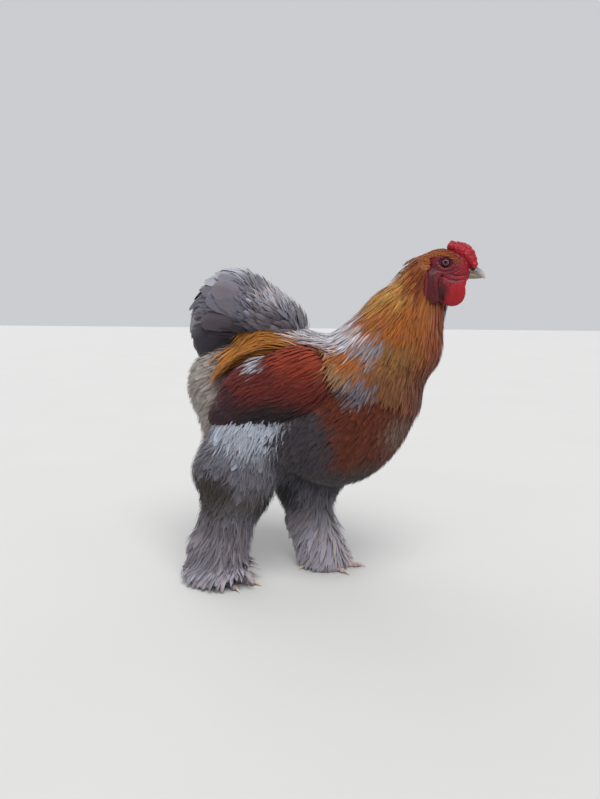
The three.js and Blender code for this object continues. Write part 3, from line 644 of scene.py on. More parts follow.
# The markings: each kind of plumage has a ground colour and soft patches, alike on both sides of the bird.
# Some patches are painted light and shade, in whole or in part, as said at each. A patch has a middle, three
# radii, the width over which it fades out, all in millimetres, and its colour.
MARKS = {
    "neck": (
        "9A551A",
        # Paler gold along the top of the nape: partly the hackle's own lighter gold, partly painted highlight
        (115, 0, 527, 60, 60, 20, 30, "B27E34"),
        (193, 20, 550, 20, 40, 30, 30, "7C3609"),
        (224, 0, 440, 16, 45, 90, 40, "84380E"),
        (195, 0, 360, 45, 60, 40, 40, "6A3116"),
        (140, 80, 385, 30, 40, 20, 30, "71421F"),
        (147, 60, 430, 28, 40, 12, 26, "84592A"),
        (110, 80, 444, 14, 40, 10, 22, "8C8488"),
        (45, 90, 398, 26, 40, 12, 22, "94704C"),
        (94, 90, 376, 18, 40, 14, 18, "716B74"),
        # These two: the back's pale silver grey, running up over the shoulders, with painted sheen that makes
        # it near white
        (36, 60, 462, 44, 60, 12, 30, "C4C0C6"),
        (10, 0, 490, 60, 80, 26, 35, "CFCCD3"),
    ),
    "torso": (
        "652D18",
        (160, 50, 300, 8, 18, 20, 30, "775D4F"),
        (115, 50, 210, 50, 60, 20, 45, "503A33"),
        (94, 90, 376, 18, 40, 14, 18, "716B74"),
        (-12, 100, 275, 52, 50, 70, 36, "463F45"),
        # Dark under the belly: painted shade
        (30, 0, 205, 110, 90, 30, 40, "3F393C"),
        # The back: pale silver grey, with painted sheen that makes it near white
        (0, 0, 480, 90, 80, 30, 40, "CFCCD3"),
        (-200, 0, 350, 50, 90, 90, 60, "A29A93"),
        # These two: the rear fluff darker low down, and dark between the legs below it: painted shade
        (-150, 0, 250, 70, 90, 30, 50, "7E7674"),
        (-50, 0, 190, 90, 80, 30, 40, "3A3435"),
    ),
    "saddle": (
        "A9691A",
        # The back: pale silver grey, with painted sheen that makes it near white
        (30, 0, 485, 46, 100, 40, 40, "D2CFD6"),
        (-50, 110, 430, 40, 30, 8, 20, "7E3F1A"),
        (-85, 0, 510, 40, 50, 12, 30, "8A6C5C"),
        (-140, 90, 370, 20, 30, 30, 30, "9E5C16"),
    ),
    "wing": (
        "64180D",
        (10, 110, 425, 40, 30, 12, 40, "8F3013"),
        (50, 100, 400, 8, 30, 30, 25, "7C4020"),
        (-50, 100, 318, 120, 30, 18, 45, "1B0A0A"),
        (-140, 90, 335, 40, 30, 24, 35, "34101A"),
        (-83, 115, 414, 12, 20, 8, 12, "A9ACB6"),
    ),
    "tail": (
        "6C6872",
        # Paler over the top, where the light falls: painted highlight
        (-150, 0, 580, 50, 60, 20, 40, "96969E"),
        (-50, 0, 520, 40, 60, 14, 26, "A29CA2"),
        (-66, 30, 478, 22, 50, 10, 20, "635A60"),
        # Dark low on the tail's sides: painted shade
        (-150, 60, 450, 50, 30, 20, 40, "352E36"),
        (-230, 0, 460, 15, 60, 60, 30, "8C878E"),
    ),
    "thigh": (
        "706E76",
        # Paler on top, where the light falls: painted highlight
        (-90, 110, 300, 70, 50, 18, 35, "B6BCC8"),
        # Dark low at the back: painted shade
        (-165, 90, 195, 35, 60, 25, 35, "3F3733"),
        (-90, 80, 175, 60, 60, 12, 30, "575150"),
        # These two: dark towards the belly and low between the legs: painted shade
        (20, 60, 230, 60, 60, 60, 35, "3E3A40"),
        (-55, 50, 160, 40, 30, 30, 20, "2E2A2D"),
    ),
    "shank": (
        "7C757E",
        (-175, 70, 15, 70, 60, 20, 40, "A29CA6"),
        (-130, 60, 150, 60, 60, 20, 40, "575154"),
        (10, 50, 40, 60, 60, 50, 40, "A9A3AB"),
    ),
    "head": (
        "7E0E20",
        (222, 18, 575, 16, 20, 12, 10, "66101F"),
        (200, 20, 560, 6, 20, 12, 10, "560D1A"),
        # A thin dark line along the corner of the mouth, under the bill: painted shade in its slit
        (243, 20, 556, 12, 12, 0.6, 1.6, "34040B"),
    ),
    "crown": ("9A4E14", (192, 24, 571, 5, 6, 5, 5, "B08A6C"), (243, 0, 590, 12, 30, 10, 10, "7A3418")),
    "comb": ("9C0A20",),
    # Each wattle is darker at its back, by the cheek: painted shade
    "wattle": ("9A0418", (217, 20, 535, 6, 20, 20, 12, "46050F"), (230, 20, 548, 14, 20, 3, 8, "720818")),
    "lobe": ("500813", (192, 20, 540, 2, 20, 30, 5, "8A3440")),
    "foot": ("C4A69C", (0, 50, 12, 20, 30, 10, 20, "C0ACA8")),
}
# The lids' colours, and the shares of the opening between which each fades out
LID_COLOURS = [("3E0C16", 1.15, 1.75), ("1C0A0E", 1.0, 1.14)]
CREASE_SHADE = 260
# Where two parts meet, the skin's colour runs from one to the other over a few millimetres
SKIN_FADE = 0.002
FADES_MOST = 40
SKIN_SHADE = 0.6


def mirrored(points):
    """Points of the right side, moved over to the left"""
    return np.stack((points[:, 0], np.abs(points[:, 1]), points[:, 2]), 1)


def mix(colours, code, weight):
    weight = weight[:, None]
    return colours * (1 - weight) + linear(code) * weight


def marking(kind, points):
    """The plumage's or skin's colour at each point, with the painted light and shade of its patches"""
    ground, *patches = MARKS[kind]
    colours = np.tile(linear(ground), (len(points), 1))
    for *sizes, code in patches:
        sizes = np.array(sizes) / 1000
        middle, radii, fade = sizes[:3], sizes[3:6], sizes[6]
        offset = mirrored(points) - middle
        share = np.linalg.norm(offset / radii, axis=1)
        outside = (share - 1) * np.linalg.norm(offset, axis=1) / np.maximum(share, NO_LESS)
        colours = mix(colours, code, smooth_step(1, 0, outside / fade))
    return colours


def set_colours(mesh, colours):
    rgba = np.concatenate((np.clip(colours, 0, 1), np.ones((len(colours), 1))), 1)
    fill(mesh.attributes.new("tint", "FLOAT_COLOR", "POINT").data, "color", rgba)


def new_piece(name, mesh, material, slot, *nodes):
    """A smooth piece with a material, riding on the root, in place of frame nodes; its slot is not used"""
    fill(mesh.polygons, "use_smooth", np.ones(len(mesh.polygons)), bool)
    mesh.materials.append(material)
    piece = bpy.data.objects.new(name, mesh)
    scene.collection.objects.link(piece)
    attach(piece, "root")
    if nodes:
        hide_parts(*nodes)


outside = np.stack([field(flat_points) for field in PARTS.values()], 1)
nearness = np.exp(-np.clip(outside / SKIN_FADE, -FADES_MOST, FADES_MOST))
nearness /= nearness.sum(1, keepdims=True)
skin_colours, skin_bare = np.zeros_like(skin_points), np.zeros(len(skin_points))
for name, share in zip(PARTS, nearness.T):
    kind = name.split("_")[0]
    skin_colours += share[:, None] * marking(kind, skin_points) * (1 if kind in BARE else SKIN_SHADE)
    skin_bare += share * (kind in BARE)
skin_colours *= np.exp(-CREASE_SHADE * skin_creases)[:, None]
lid_at, _, _ = lid_share(flat_points[:, 0], flat_points[:, 2])
at_eye = np.abs(flat_points[:, 1]) > EYE_BOX[0][1]
for code, low, high in LID_COLOURS:
    skin_colours = mix(skin_colours, code, (1 - smooth_step(low, high, lid_at)) * at_eye)
set_colours(skin_mesh, skin_colours)
fill(skin_mesh.attributes.new("bare", "FLOAT", "POINT").data, "value", skin_bare)
skin_mesh.transform(Matrix.Translation(STAND))

# Poultry skin: soft and matt under the plumage, and moist where it is bare, with domed papillae and fine
# wrinkles
PAPILLA_SIZE = 0.0011
WRINKLE_SIZE = 0.005
SKIN_RELIEF = 0.00028
material, tree, shader = new_material("poultry_skin")
place = add(tree, "TexCoord", {}, "Object")
tint = add(tree, "Attribute", {}, "Color", attribute_name="tint")
bare = add(tree, "Attribute", {}, "Fac", attribute_name="bare")
papillae = add(tree, "TexVoronoi", {"Vector": place, "Scale": 1 / PAPILLA_SIZE}, feature="SMOOTH_F1")
wrinkles = add(tree, "TexNoise", {"Vector": place, "Scale": 1 / WRINKLE_SIZE, "Detail": 6})
domes = add(tree, "MapRange", {"Value": papillae, "To Min": 1, "To Max": 0})
blotch = add(tree, "MapRange", {"Value": wrinkles, "To Min": 0.66, "To Max": 1.32})
speck = add(tree, "MapRange", {"Value": domes, "To Min": 0.72, "To Max": 1.16})
cast = add(tree, "Math", {0: blotch, 1: speck}, operation="MULTIPLY")
blotched = add(tree, "VectorMath", {0: tint, 1: cast}, operation="MULTIPLY")
height = add(tree, "Math", {0: wrinkles, 1: 2, 2: domes}, operation="MULTIPLY_ADD")
bump = add(tree, "Bump", {"Height": height, "Strength": bare, "Distance": SKIN_RELIEF})
gloss = add(tree, "MapRange", {"Value": bare, "To Min": 0.9, "To Max": 0.46})
wire(tree, shader, {"Base Color": blotched, "Roughness": gloss, "Normal": bump, "Specular IOR Level": 0.35})
wire(tree, shader, {"Subsurface Weight": 0.12, "Subsurface Scale": 0.004})
flesh_nodes = ["torso", "neck", "tail", "head", "comb"]
for side in SIDES:
    flesh_nodes += [f"{part}_{side}" for part in ("wing", "thigh", "shank", "foot", "wattle", "ear_lobe")]
new_piece("skin", skin_mesh, material, "face", *flesh_nodes)

# Hackle
# The neck's long, narrow, pointed feathers stream from behind the face down over the shoulders like a cape,
# gold above and striped with blue grey below. Each feather is a thin closed blade, laid along the body from
# its root in the skin, with its edges swept forward as barbs are and its colour changing from root to tip.
HACKLE_VANE = {
    "shares": (0, 0.24, 0.56, 0.83),
    "widths": (0.50, 1.0, 0.90, 0.50),
    "columns": (-1, 0, 1),
    "sweep": 0.6,
    "camber": 0.10,
    "thickness": 0.0003,
}
ROUNDING = 0.5
LEAN = 0.16
SHOWN_SHARE = 0.6
EDGE_TUCK = 0.8
LAYING_STEP = 0.02
FLOOR_GAP = 0.0008
BAKE_PATCH = 0.003
BAKE_MARGIN = 0.01
# The shade of a feather runs through these shares of its length, and its warmth varies less than its shade
SHADED_AT = (0, 0.45, 0.75, 1)
WARMTH = 0.35


def vane_faces(rings, corners):
    faces = []
    for ring in range(rings - 1):
        for corner in range(corners):
            a, b = ring * corners + corner, ring * corners + (corner + 1) % corners
            faces += [(a, b, a + corners), (b, b + corners, a + corners)]
    last = (rings - 1) * corners
    faces += [(last + corner, last + (corner + 1) % corners, last + corners) for corner in range(corners)]
    faces += [(0, corner + 1, corner) for corner in range(1, corners - 1)]
    return np.array(faces)


def aim(flow, at, up, bend):
    """The flow's direction at each point, along the surface, turned aside by each feather's own bend"""
    heading = flow(at)
    heading = unit(heading - up * (heading * up).sum(1, keepdims=True))
    return heading * np.cos(bend)[:, None] + np.cross(up, heading) * np.sin(bend)[:, None]


def lay(guide, flow, roots, vane, length, width, low, high, draw, wander=0.1, roll=0.0, ragged=0.1, ease=0.7):
    """Lays a feather from each root along the guide's surface, rising from a low height to a high one at its
    tip. A pair of lengths, widths or heights is the range of a random draw."""
    count, sizes = len(roots), []
    for size in (length, width, high):
        sizes.append(draw.uniform(*size, count) if isinstance(size, tuple) else np.full(count, size))
    length, width, high = sizes
    bend = draw.normal(0, wander, count)
    curve = draw.normal(0, wander, count)
    lean = draw.normal(0, LEAN, count)
    at, up = settle(guide, roots, low, LAYING_STEP)
    rings, normals, shown, reached = [], [], roots, 0
    for share, breadth in zip((*vane["shares"], 1), (*vane["widths"], 0)):
        heading = aim(flow, at, up, bend + curve * reached)
        height = low + (high - low) * share**ease
        if share:
            at = at + heading * (length * (share - reached))[:, None]
            at, up = settle(guide, at, height, LAYING_STEP)
            heading = aim(flow, at, up, bend + curve * share)
        reached = share
        shown = at if share <= SHOWN_SHARE else shown
        if not breadth:
            rings.append(at[:, None])
            normals.append(up[:, None])
            break
        across = np.cross(heading, up)
        half = width * breadth / 2
        ring = []
        for column in vane["columns"]:
            out = half * column * (1 + ragged * draw.normal(size=count) * abs(column))
            corner = at + across * out[:, None] + heading * (vane["sweep"] * half * abs(column))[:, None]
            if column:
                drop = (guide(corner) - height) * EDGE_TUCK + vane["camber"] * half * column**2
                corner = corner + up * (roll * half * column * min(1, 3 * share) - drop)[:, None]
            ring.append(corner)
        rings.append(np.stack((*ring, at - up * vane["thickness"]), 1))
        tops = [unit(up + across * (lean + ROUNDING * column)[:, None]) for column in vane["columns"]]
        normals.append(np.stack((*tops, up), 1))
    points = np.concatenate(rings, 1)
    points[..., 2] = np.maximum(points[..., 2], FLOOR_GAP)
    columns = (*vane["columns"], 0)
    faces = vane_faces(len(vane["shares"]), len(columns))
    under = (faces % len(columns) == len(columns) - 1).any(1)
    return {
        "roots": roots,
        "shown": shown,
        "points": points,
        "normals": np.concatenate(normals, 1),
        "faces": faces,
        "side": np.where(under, -1, 1),
        "across": np.array([column for _ in vane["shares"] for column in columns] + [0]),
        "along": np.array([share for share in vane["shares"] for _ in columns] + [1]),
        "half": width / 2,
        "length": length,
    }


def paint(laid, kind, draw, spread=0.12, root=0.7, tip=1.1, shaft=0.88, edge=1.05, stray=0.007):
    """Gives feathers their colours: a kind's marking about where each shows, shaded along and across it"""
    colour = marking(kind, laid["shown"] + draw.normal(0, stray, laid["shown"].shape))
    along_shade = np.interp(laid["along"], SHADED_AT, (root, 1, 1, tip))
    across_shade = shaft + (edge - shaft) * np.abs(laid["across"])
    own = np.exp(draw.normal(0, spread, (len(colour), 1, 1)))
    warmth = 1 + draw.normal(0, spread * WARMTH, (len(colour), 1, 1)) * np.array((1, 0, -1))
    return laid, colour[:, None] * (along_shade * across_shade)[:, None] * own * warmth, draw


def unwrap(roots, low, high):
    """Each root's place on the skin's own unwrap: round the part's line, and along it"""
    low = np.array(low)
    axis, side, third = axes_of(low, np.array(high))
    offset = roots - low
    around = np.arctan2(offset @ third, offset @ side) / (2 * math.pi) + 0.5
    along = offset @ axis
    along = (along - along.min()) / max(np.ptp(along), NO_LESS)
    return BAKE_MARGIN + np.stack((around, along), 1) * (1 - 2 * BAKE_MARGIN)


def coat(name, groups, line, material, slot):
    """Joins painted feathers to one piece, and gives each a patch on the bake's map at its root's place"""
    points, faces, colours, barbs, maps, normals = [], [], [], [], [], []
    base = 0
    for laid, tints, draw in groups:
        count, corners = laid["points"].shape[:2]
        patch = np.stack((laid["across"] / 2, laid["along"] - 0.5), 1) * BAKE_PATCH
        out = laid["half"][:, None] * laid["across"]
        along = laid["length"][:, None] * laid["along"]
        own = np.repeat(draw.random((count, 1)), corners, 1)
        corner = laid["faces"][None] + (np.arange(count) * corners)[:, None, None]
        faces.append(base + corner.reshape(-1, 3))
        maps.append((unwrap(laid["roots"], *line)[:, None] + patch).reshape(-1, 2))
        barbs.append(np.stack((out, along, own), 2).reshape(-1, 3))
        points.append(laid["points"].reshape(-1, 3) + STAND)
        colours.append(tints.reshape(-1, 3))
        side = np.tile(laid["side"], count)[:, None, None]
        normals.append(laid["normals"].reshape(-1, 3)[corner.reshape(-1, 3)] * side)
        base += count * corners
    points, faces, maps = map(np.concatenate, (points, faces, maps))
    mesh = bpy.data.meshes.new(name)
    mesh.vertices.add(len(points))
    fill(mesh.vertices, "co", points)
    mesh.loops.add(faces.size)
    fill(mesh.loops, "vertex_index", faces, np.int32)
    mesh.polygons.add(len(faces))
    fill(mesh.polygons, "loop_start", np.arange(0, faces.size, 3), np.int32)
    mesh.update(calc_edges=True)
    mesh.normals_split_custom_set(np.concatenate(normals).reshape(-1, 3))
    set_colours(mesh, np.concatenate(colours))
    fill(mesh.attributes.new("barb", "FLOAT_VECTOR", "POINT").data, "vector", np.concatenate(barbs))
    fill(mesh.uv_layers.new(name="OFBake").data, "uv", maps[faces.ravel()])
    new_piece(name, mesh, material, slot)
    print(name, len(faces), "triangles")


# A feather's finish: keratin barbs, silky along their length, in fine streaks that run with the feather. Real
# barbs are 0.3 mm apart, too fine to show, so they are drawn this much coarser.
BARB_SPACING = 0.0011
BARB_SLANT = 1.4
STREAK_WIDTH = 0.0009
STREAK_LENGTH = 0.014
FEATHERS_APART = 40


def feather_finish(name, roughness, sheen, barb_depth, streaks):
    material, tree, shader = new_material(name)
    tint = add(tree, "Attribute", {}, "Color", attribute_name="tint")
    barb = add(tree, "Attribute", {}, "Vector", attribute_name="barb")
    out, along, own = add(tree, "SeparateXYZ", {0: barb}).node.outputs
    out = add(tree, "Math", {0: out}, operation="ABSOLUTE")
    slant = add(tree, "Math", {0: out, 1: -BARB_SLANT, 2: along}, operation="MULTIPLY_ADD")
    phase = add(tree, "Math", {0: slant, 1: 2 * math.pi / BARB_SPACING, 2: own}, operation="MULTIPLY_ADD")
    wave = add(tree, "Math", {0: phase}, operation="SINE")
    drawn = add(tree, "Mapping", {0: barb, 3: (1 / STREAK_WIDTH, 1 / STREAK_LENGTH, FEATHERS_APART)})
    streak = add(tree, "TexNoise", {"Vector": drawn, "Scale": 1, "Detail": 3})
    shade = add(tree, "MapRange", {"Value": wave, "From Min": -1, "To Min": 0.93, "To Max": 1.05})
    spread = {"From Min": 0.25, "From Max": 0.75, "To Min": 1 - streaks, "To Max": 1 + streaks}
    cast = add(tree, "MapRange", {"Value": streak, **spread})
    shades = add(tree, "Math", {0: shade, 1: cast}, operation="MULTIPLY")
    colour = add(tree, "VectorMath", {0: tint, 1: shades}, operation="MULTIPLY")
    bump = add(tree, "Bump", {"Height": wave, "Distance": barb_depth})
    wire(tree, shader, {"Base Color": colour, "Normal": bump, "Roughness": roughness})
    wire(tree, shader, {"Specular IOR Level": 0.3, "Sheen Weight": sheen, "Sheen Roughness": 0.5})
    return material


silk_finish = feather_finish("silky_feather", 0.48, 0.08, 0.00006, 0.25)
down_finish = feather_finish("soft_down", 0.85, 0.12, 0.00004, 0.14)

# Roots are scattered evenly over the skin of a part, no two nearer than their spacing
skin_mesh.calc_loop_triangles()
corner_index = np.empty(len(skin_mesh.loop_triangles) * 3, np.int32)
skin_mesh.loop_triangles.foreach_get("vertices", corner_index)
skin_corners = flat_points[corner_index.reshape(-1, 3)]
skin_middles = skin_corners.mean(1)
first_edge, second_edge = skin_corners[:, 1] - skin_corners[:, 0], skin_corners[:, 2] - skin_corners[:, 0]
skin_areas = np.linalg.norm(np.cross(first_edge, second_edge), axis=1) / 2
skin_part = np.stack([field(skin_middles) for field in PARTS.values()]).argmin(0)
PART_NAMES = list(PARTS)
TRIES_PER_ROOT = 5


def scatter(parts, spacing, draw, where=None):
    chosen = np.isin(skin_part, [PART_NAMES.index(part) for part in parts])
    if where:
        chosen &= where(skin_middles)
    chosen = np.flatnonzero(chosen)
    area = skin_areas[chosen]
    count = int(TRIES_PER_ROOT * area.sum() / spacing**2)
    pick = chosen[draw.choice(len(chosen), count, p=area / area.sum())]
    a, b = draw.random((2, count, 1))
    a, b = np.where(a + b > 1, 1 - a, a), np.where(a + b > 1, 1 - b, b)
    points = skin_corners[pick, 0] + a * first_edge[pick] + b * second_edge[pick]
    near = kdtree.KDTree(count)
    for index, point in enumerate(points):
        near.insert(point, index)
    near.balance()
    free = np.ones(count, bool)
    kept = []
    for index, point in enumerate(points):
        if free[index]:
            kept.append(index)
            for _, other, _ in near.find_range(point, spacing):
                free[other] = False
    return points[kept]


HACKLE_SOURCE = np.array((0.236, 0, 0.668))
HACKLE_SEED = 11
HACKLE_FULL = 0.26
HACKLE_SPACING = 0.0026
# The length and width at the face, and how much they gain on the shoulders
HACKLE_LENGTH, HACKLE_LONGER = 0.026, 0.040
HACKLE_WIDTH, HACKLE_WIDER = 0.0032, 0.0014
HACKLE_LOW, HACKLE_HIGH = -0.004, (0.001, 0.0048)
HACKLE_VARIES = (0.8, 1.12)
NECK_TOP = (0.192, 0.545)

# A guide is the form that feathers are laid over: the body's own, drawn in under other feathers. The hackle's
# stands out furthest along the nape and the throat.
NAPE = union(0.008, bulge(177, 0, 550, 38, 25, 26, 42), bulge(177, 0, 563, 34, 18, 20, 38))
NAPE_BASE = bulge(138, 0, 503, 60, 40, 36, 38)
THROAT = bulge(172, 0, 436, 48, 44, 52)
cape = union(0.006, grown(NECK, -0.007), grown(HEAD, -0.003), TORSO, NAPE, NAPE_BASE, THROAT)
hackle_guide = union(0.014, cape, *[grown(form, -0.006) for form in WINGS.values()])


def hackle_flow(at):
    return at - HACKLE_SOURCE


def on_neck(points):
    """All of the neck, and the back of the head"""
    return (points[:, 0] < NECK_TOP[0]) | (points[:, 2] < NECK_TOP[1])


draw = np.random.default_rng(HACKLE_SEED)
roots = scatter(["neck", "head"], HACKLE_SPACING, draw, on_neck)
down = np.clip(np.linalg.norm(hackle_flow(roots), axis=1) / HACKLE_FULL, 0, 1)
length = HACKLE_LENGTH + HACKLE_LONGER * down * draw.uniform(*HACKLE_VARIES, len(roots))
sizes = (length, HACKLE_WIDTH + HACKLE_WIDER * down, HACKLE_LOW, HACKLE_HIGH)
hackle = lay(hackle_guide, hackle_flow, roots, HACKLE_VANE, *sizes, draw, wander=0.07)
coat("hackle_coat", [paint(hackle, "neck", draw, spread=0.15)], LINES["neck"], silk_finish, "hackle")

# Crown
# Tiny feathers cover the head behind the comb, over the brow and between the eye and the hackle, with a pale
# tuft over the ear. They stream back level, and turn down towards the nape.
STRAND_VANE = {
    "shares": (0, 0.35, 0.72),
    "widths": (0.6, 1.0, 0.7),
    "columns": (-1, 0, 1),
    "sweep": 0.5,
    "camber": 0.06,
    "thickness": 0.0003,
}
CROWN_SEED = 12
CROWN_SPACING = 0.00125
CROWN_LENGTH, NAPE_LONGER = (0.005, 0.008), 0.006
CROWN_WIDTH, CROWN_LOW, CROWN_HIGH = 0.0014, -0.0004, (0.0004, 0.0014)
EAR_TUFT = np.array((0.192, 0.024, 0.570))
EAR_TUFT_RADIUS = 0.0075
BROW_LINE = ((0.212, 0.5960), (0.232, 0.5930), (0.249, 0.5810))
BROW_HEIGHT = 0.0046
# The crown's edges, seen from the side: round the back of the comb, and behind and above the bare face
COMB_ROOT = (0.212, 0.591)
COMB_SLOPE = 0.8
CROWN_FRONT = 0.232
FACE_BACK, FACE_TOP = 0.199, 0.588
# The slope of the feathers' fall, where it grows steeper, and how fast
CROWN_FALL = (-0.35, 0.200, 24)
# Between these places, from the front to the back, they grow longer
NAPE_LENGTHENS = (0.206, 0.188)


def backward(level, turn, steeper):
    """A flow to the back that falls at a slope, and steeper behind a turn"""

    def flow(at):
        fall = level - steeper * np.maximum(0, turn - at[:, 0])
        return np.stack((-np.ones(len(at)), np.zeros(len(at)), fall), 1)

    return flow


def on_crown(points):
    x, y, z = mirrored(points).T
    top = (z > COMB_ROOT[1] + np.maximum(0, x - COMB_ROOT[0]) * COMB_SLOPE) & (x < CROWN_FRONT)
    brow = off_line(x, z, BROW_LINE) < BROW_HEIGHT
    tuft = np.linalg.norm(mirrored(points) - EAR_TUFT, axis=1) < EAR_TUFT_RADIUS
    return top | brow | tuft | (x < FACE_BACK) | ((x < COMB_ROOT[0]) & (z > FACE_TOP))


crown_guide = union(0.005, HEAD, grown(NAPE, -0.0015), grown(NECK, -0.007))
draw = np.random.default_rng(CROWN_SEED)
roots = scatter(["head"], CROWN_SPACING, draw, on_crown)
longer = NAPE_LONGER * smooth_step(*NAPE_LENGTHENS, roots[:, 0])
sizes = (draw.uniform(*CROWN_LENGTH, len(roots)) + longer, CROWN_WIDTH, CROWN_LOW, CROWN_HIGH)
crown = lay(crown_guide, backward(*CROWN_FALL), roots, STRAND_VANE, *sizes, draw, wander=0.14)
coat("crown_coat", [paint(crown, "crown", draw, root=0.85)], LINES["head"], silk_finish, "hackle")

# Breast
# Soft, rounded body feathers clothe the breast and the sides, each about as long as a thumb, with loose barbs
# between them.
BODY_VANE = {
    "shares": (0, 0.14, 0.36, 0.62, 0.84),
    "widths": (0.40, 0.84, 1.0, 0.90, 0.58),
    "columns": (-1, -0.5, 0, 0.5, 1),
    "sweep": 0.45,
    "camber": 0.10,
    "thickness": 0.0004,
}
BREAST_SEED = 13
BREAST_SOURCE = np.array((0.235, 0, 0.560))
BREAST_FALL = (-0.30, 0, -0.15)
BREAST_BACK, BREAST_TOP = -0.03, 0.44
# For each kind of feather its spacing, and its length, width, and height at its root and at its tip
BREAST_FEATHERS = (0.0062, (0.032, 0.044), (0.009, 0.013), -0.013, (-0.005, -0.001))
BREAST_STRANDS = (0.0032, (0.022, 0.034), (0.0016, 0.0028), -0.010, (-0.003, 0.001))


def breast_flow(at):
    return unit(at - BREAST_SOURCE) + BREAST_FALL


def on_breast(points):
    return (points[:, 0] > BREAST_BACK) & (points[:, 2] < BREAST_TOP)


bed = (union(0.014, TORSO, grown(NECK, -0.010), grown(THROAT, -0.006)), breast_flow)
draw = np.random.default_rng(BREAST_SEED)
gap, *sizes = BREAST_FEATHERS
breast = lay(*bed, scatter(["torso", "neck"], gap, draw, on_breast), BODY_VANE, *sizes, draw, ragged=0.12)
gap, *sizes = BREAST_STRANDS
loose = lay(*bed, scatter(["torso", "neck"], gap, draw, on_breast), STRAND_VANE, *sizes, draw, wander=0.14)
coat("breast_coat", [paint(breast, "torso", draw, spread=0.08)], LINES["torso"], down_finish, "plumage")
coat("breast_down", [paint(loose, "torso", draw, spread=0.10)], LINES["torso"], down_finish, "plumage")

# Back and saddle
# Long, silky, pointed feathers fall from the lower back over the rump and the top of each wing: pale
# silver grey in front, with painted sheen that makes it near white, and gold where they hang past the wing.
SADDLE_SEED = 14
WING_CLEARANCE = 0.003
SADDLE_FALL = (-0.15, -0.058, 42)
SADDLE_FEATHERS = (0.0034, (0.050, 0.086), (0.0034, 0.0052), -0.008, (0.001, 0.006))
# Its two ends, and its lower edge, which rises in front
SADDLE_ENDS = (-0.128, 0.09)
SADDLE_EDGE = 0.412
EDGE_RISES = ((-0.02, 0), (0.08, 0.055))


def on_saddle(points):
    x, z = points[:, 0], points[:, 2]
    within = (x > SADDLE_ENDS[0]) & (x < SADDLE_ENDS[1])
    return within & (z > SADDLE_EDGE + np.interp(x, *zip(*EDGE_RISES)))


draw = np.random.default_rng(SADDLE_SEED)
gap, *sizes = SADDLE_FEATHERS
roots = scatter(["torso", "neck"], gap, draw, on_saddle)
saddle_guide = union(0.012, TORSO, *[grown(form, WING_CLEARANCE) for form in WINGS.values()])
saddle = lay(saddle_guide, backward(*SADDLE_FALL), roots, HACKLE_VANE, *sizes, draw, wander=0.09)
coat("saddle_coat", [paint(saddle, "saddle", draw, spread=0.14)], LINES["torso"], silk_finish, "plumage")

# Wings
# A closed wing is shingled: primaries and secondaries at the bottom, two tiers of coverts over their roots,
# and silky lesser coverts, the bow, over all of the front. All run together towards the wing's tip.
FLIGHT_VANE = {
    "shares": (0, 0.08, 0.20, 0.36, 0.54, 0.72, 0.86, 0.95),
    "widths": (0.30, 0.62, 0.86, 1.0, 1.0, 0.94, 0.78, 0.50),
    "columns": (-1, -0.6, -0.2, 0, 0.2, 0.6, 1),
    "sweep": 0.3,
    "camber": 0.08,
    "thickness": 0.0006,
}
WING_SEED = 15
WING_TIP = np.array((-0.250, 0.084, 0.262))
WING_MIDDLE = 0.090
WING_CORE = 0.006
FLIGHT_VARIES, FLIGHT_ROLL = (0.94, 1.06), 0.10
FLIGHT_LOW, BOW_LOW = -0.007, -0.006
# Each tier's two ends as seen from the side, and its feathers' count, length, width and height at the tip
WING_TIERS = [
    ((-0.030, 0.312), (-0.062, 0.330), 7, 0.112, 0.0140, -0.002),
    ((-0.004, 0.328), (-0.076, 0.400), 13, 0.104, 0.0165, -0.001),
    ((0.022, 0.346), (-0.048, 0.414), 12, 0.070, 0.0150, 0.000),
    ((0.040, 0.374), (-0.006, 0.424), 11, 0.050, 0.0130, 0.001),
]
BOW_SPACING = 0.0029
BOW_LENGTH, BOW_WIDTH, BOW_HIGH = (0.030, 0.046), (0.0034, 0.0052), (0, 0.0036)
# Between these places, from the front to the back, the feathers of the bow grow shorter and lie closer
BOW_ENDS = (-0.08, -0.13)
BOW_SHORTER, BOW_LOWER = 0.3, 0.003

for name, side in SIDES.items():

    def wing_flow(at, side=side):
        return WING_TIP * (1, side, 1) - at

    draw = np.random.default_rng(WING_SEED)
    bed = (union(0.004, WINGS[name], grown(TORSO, -0.010)), wing_flow)
    groups = []
    for front, back, count, length, width, high in WING_TIERS:
        share = np.linspace(0, 1, count)[:, None]
        x, z = (np.array(front) * (1 - share) + np.array(back) * share).T
        start = np.stack((x, np.full(count, side * WING_MIDDLE), z), 1)
        roots = reach(WINGS[name], start, np.array((0, side, 0)), -WING_CORE)
        sizes = (length * draw.uniform(*FLIGHT_VARIES, count), width, FLIGHT_LOW, high)
        roll = -side * FLIGHT_ROLL
        flight = lay(*bed, roots, FLIGHT_VANE, *sizes, draw, wander=0.03, roll=roll, ragged=0.03)
        groups.append(paint(flight, "wing", draw, spread=0.10, shaft=1.1, edge=0.95))
    roots = scatter([f"wing_{name}"], BOW_SPACING, draw)
    back = np.clip((BOW_ENDS[0] - roots[:, 0]) / (BOW_ENDS[0] - BOW_ENDS[1]), 0, 1)
    length = draw.uniform(*BOW_LENGTH, len(roots)) * (1 - BOW_SHORTER * back)
    width = draw.uniform(*BOW_WIDTH, len(roots))
    high = draw.uniform(*BOW_HIGH, len(roots)) - BOW_LOWER * back
    bow = lay(*bed, roots, HACKLE_VANE, length, width, BOW_LOW, high, draw, wander=0.08)
    groups.append(paint(bow, "wing", draw, spread=0.14, stray=0.004))
    coat(f"wing_{name}_coat", groups, LINES[f"wing_{name}"], silk_finish, "wing")

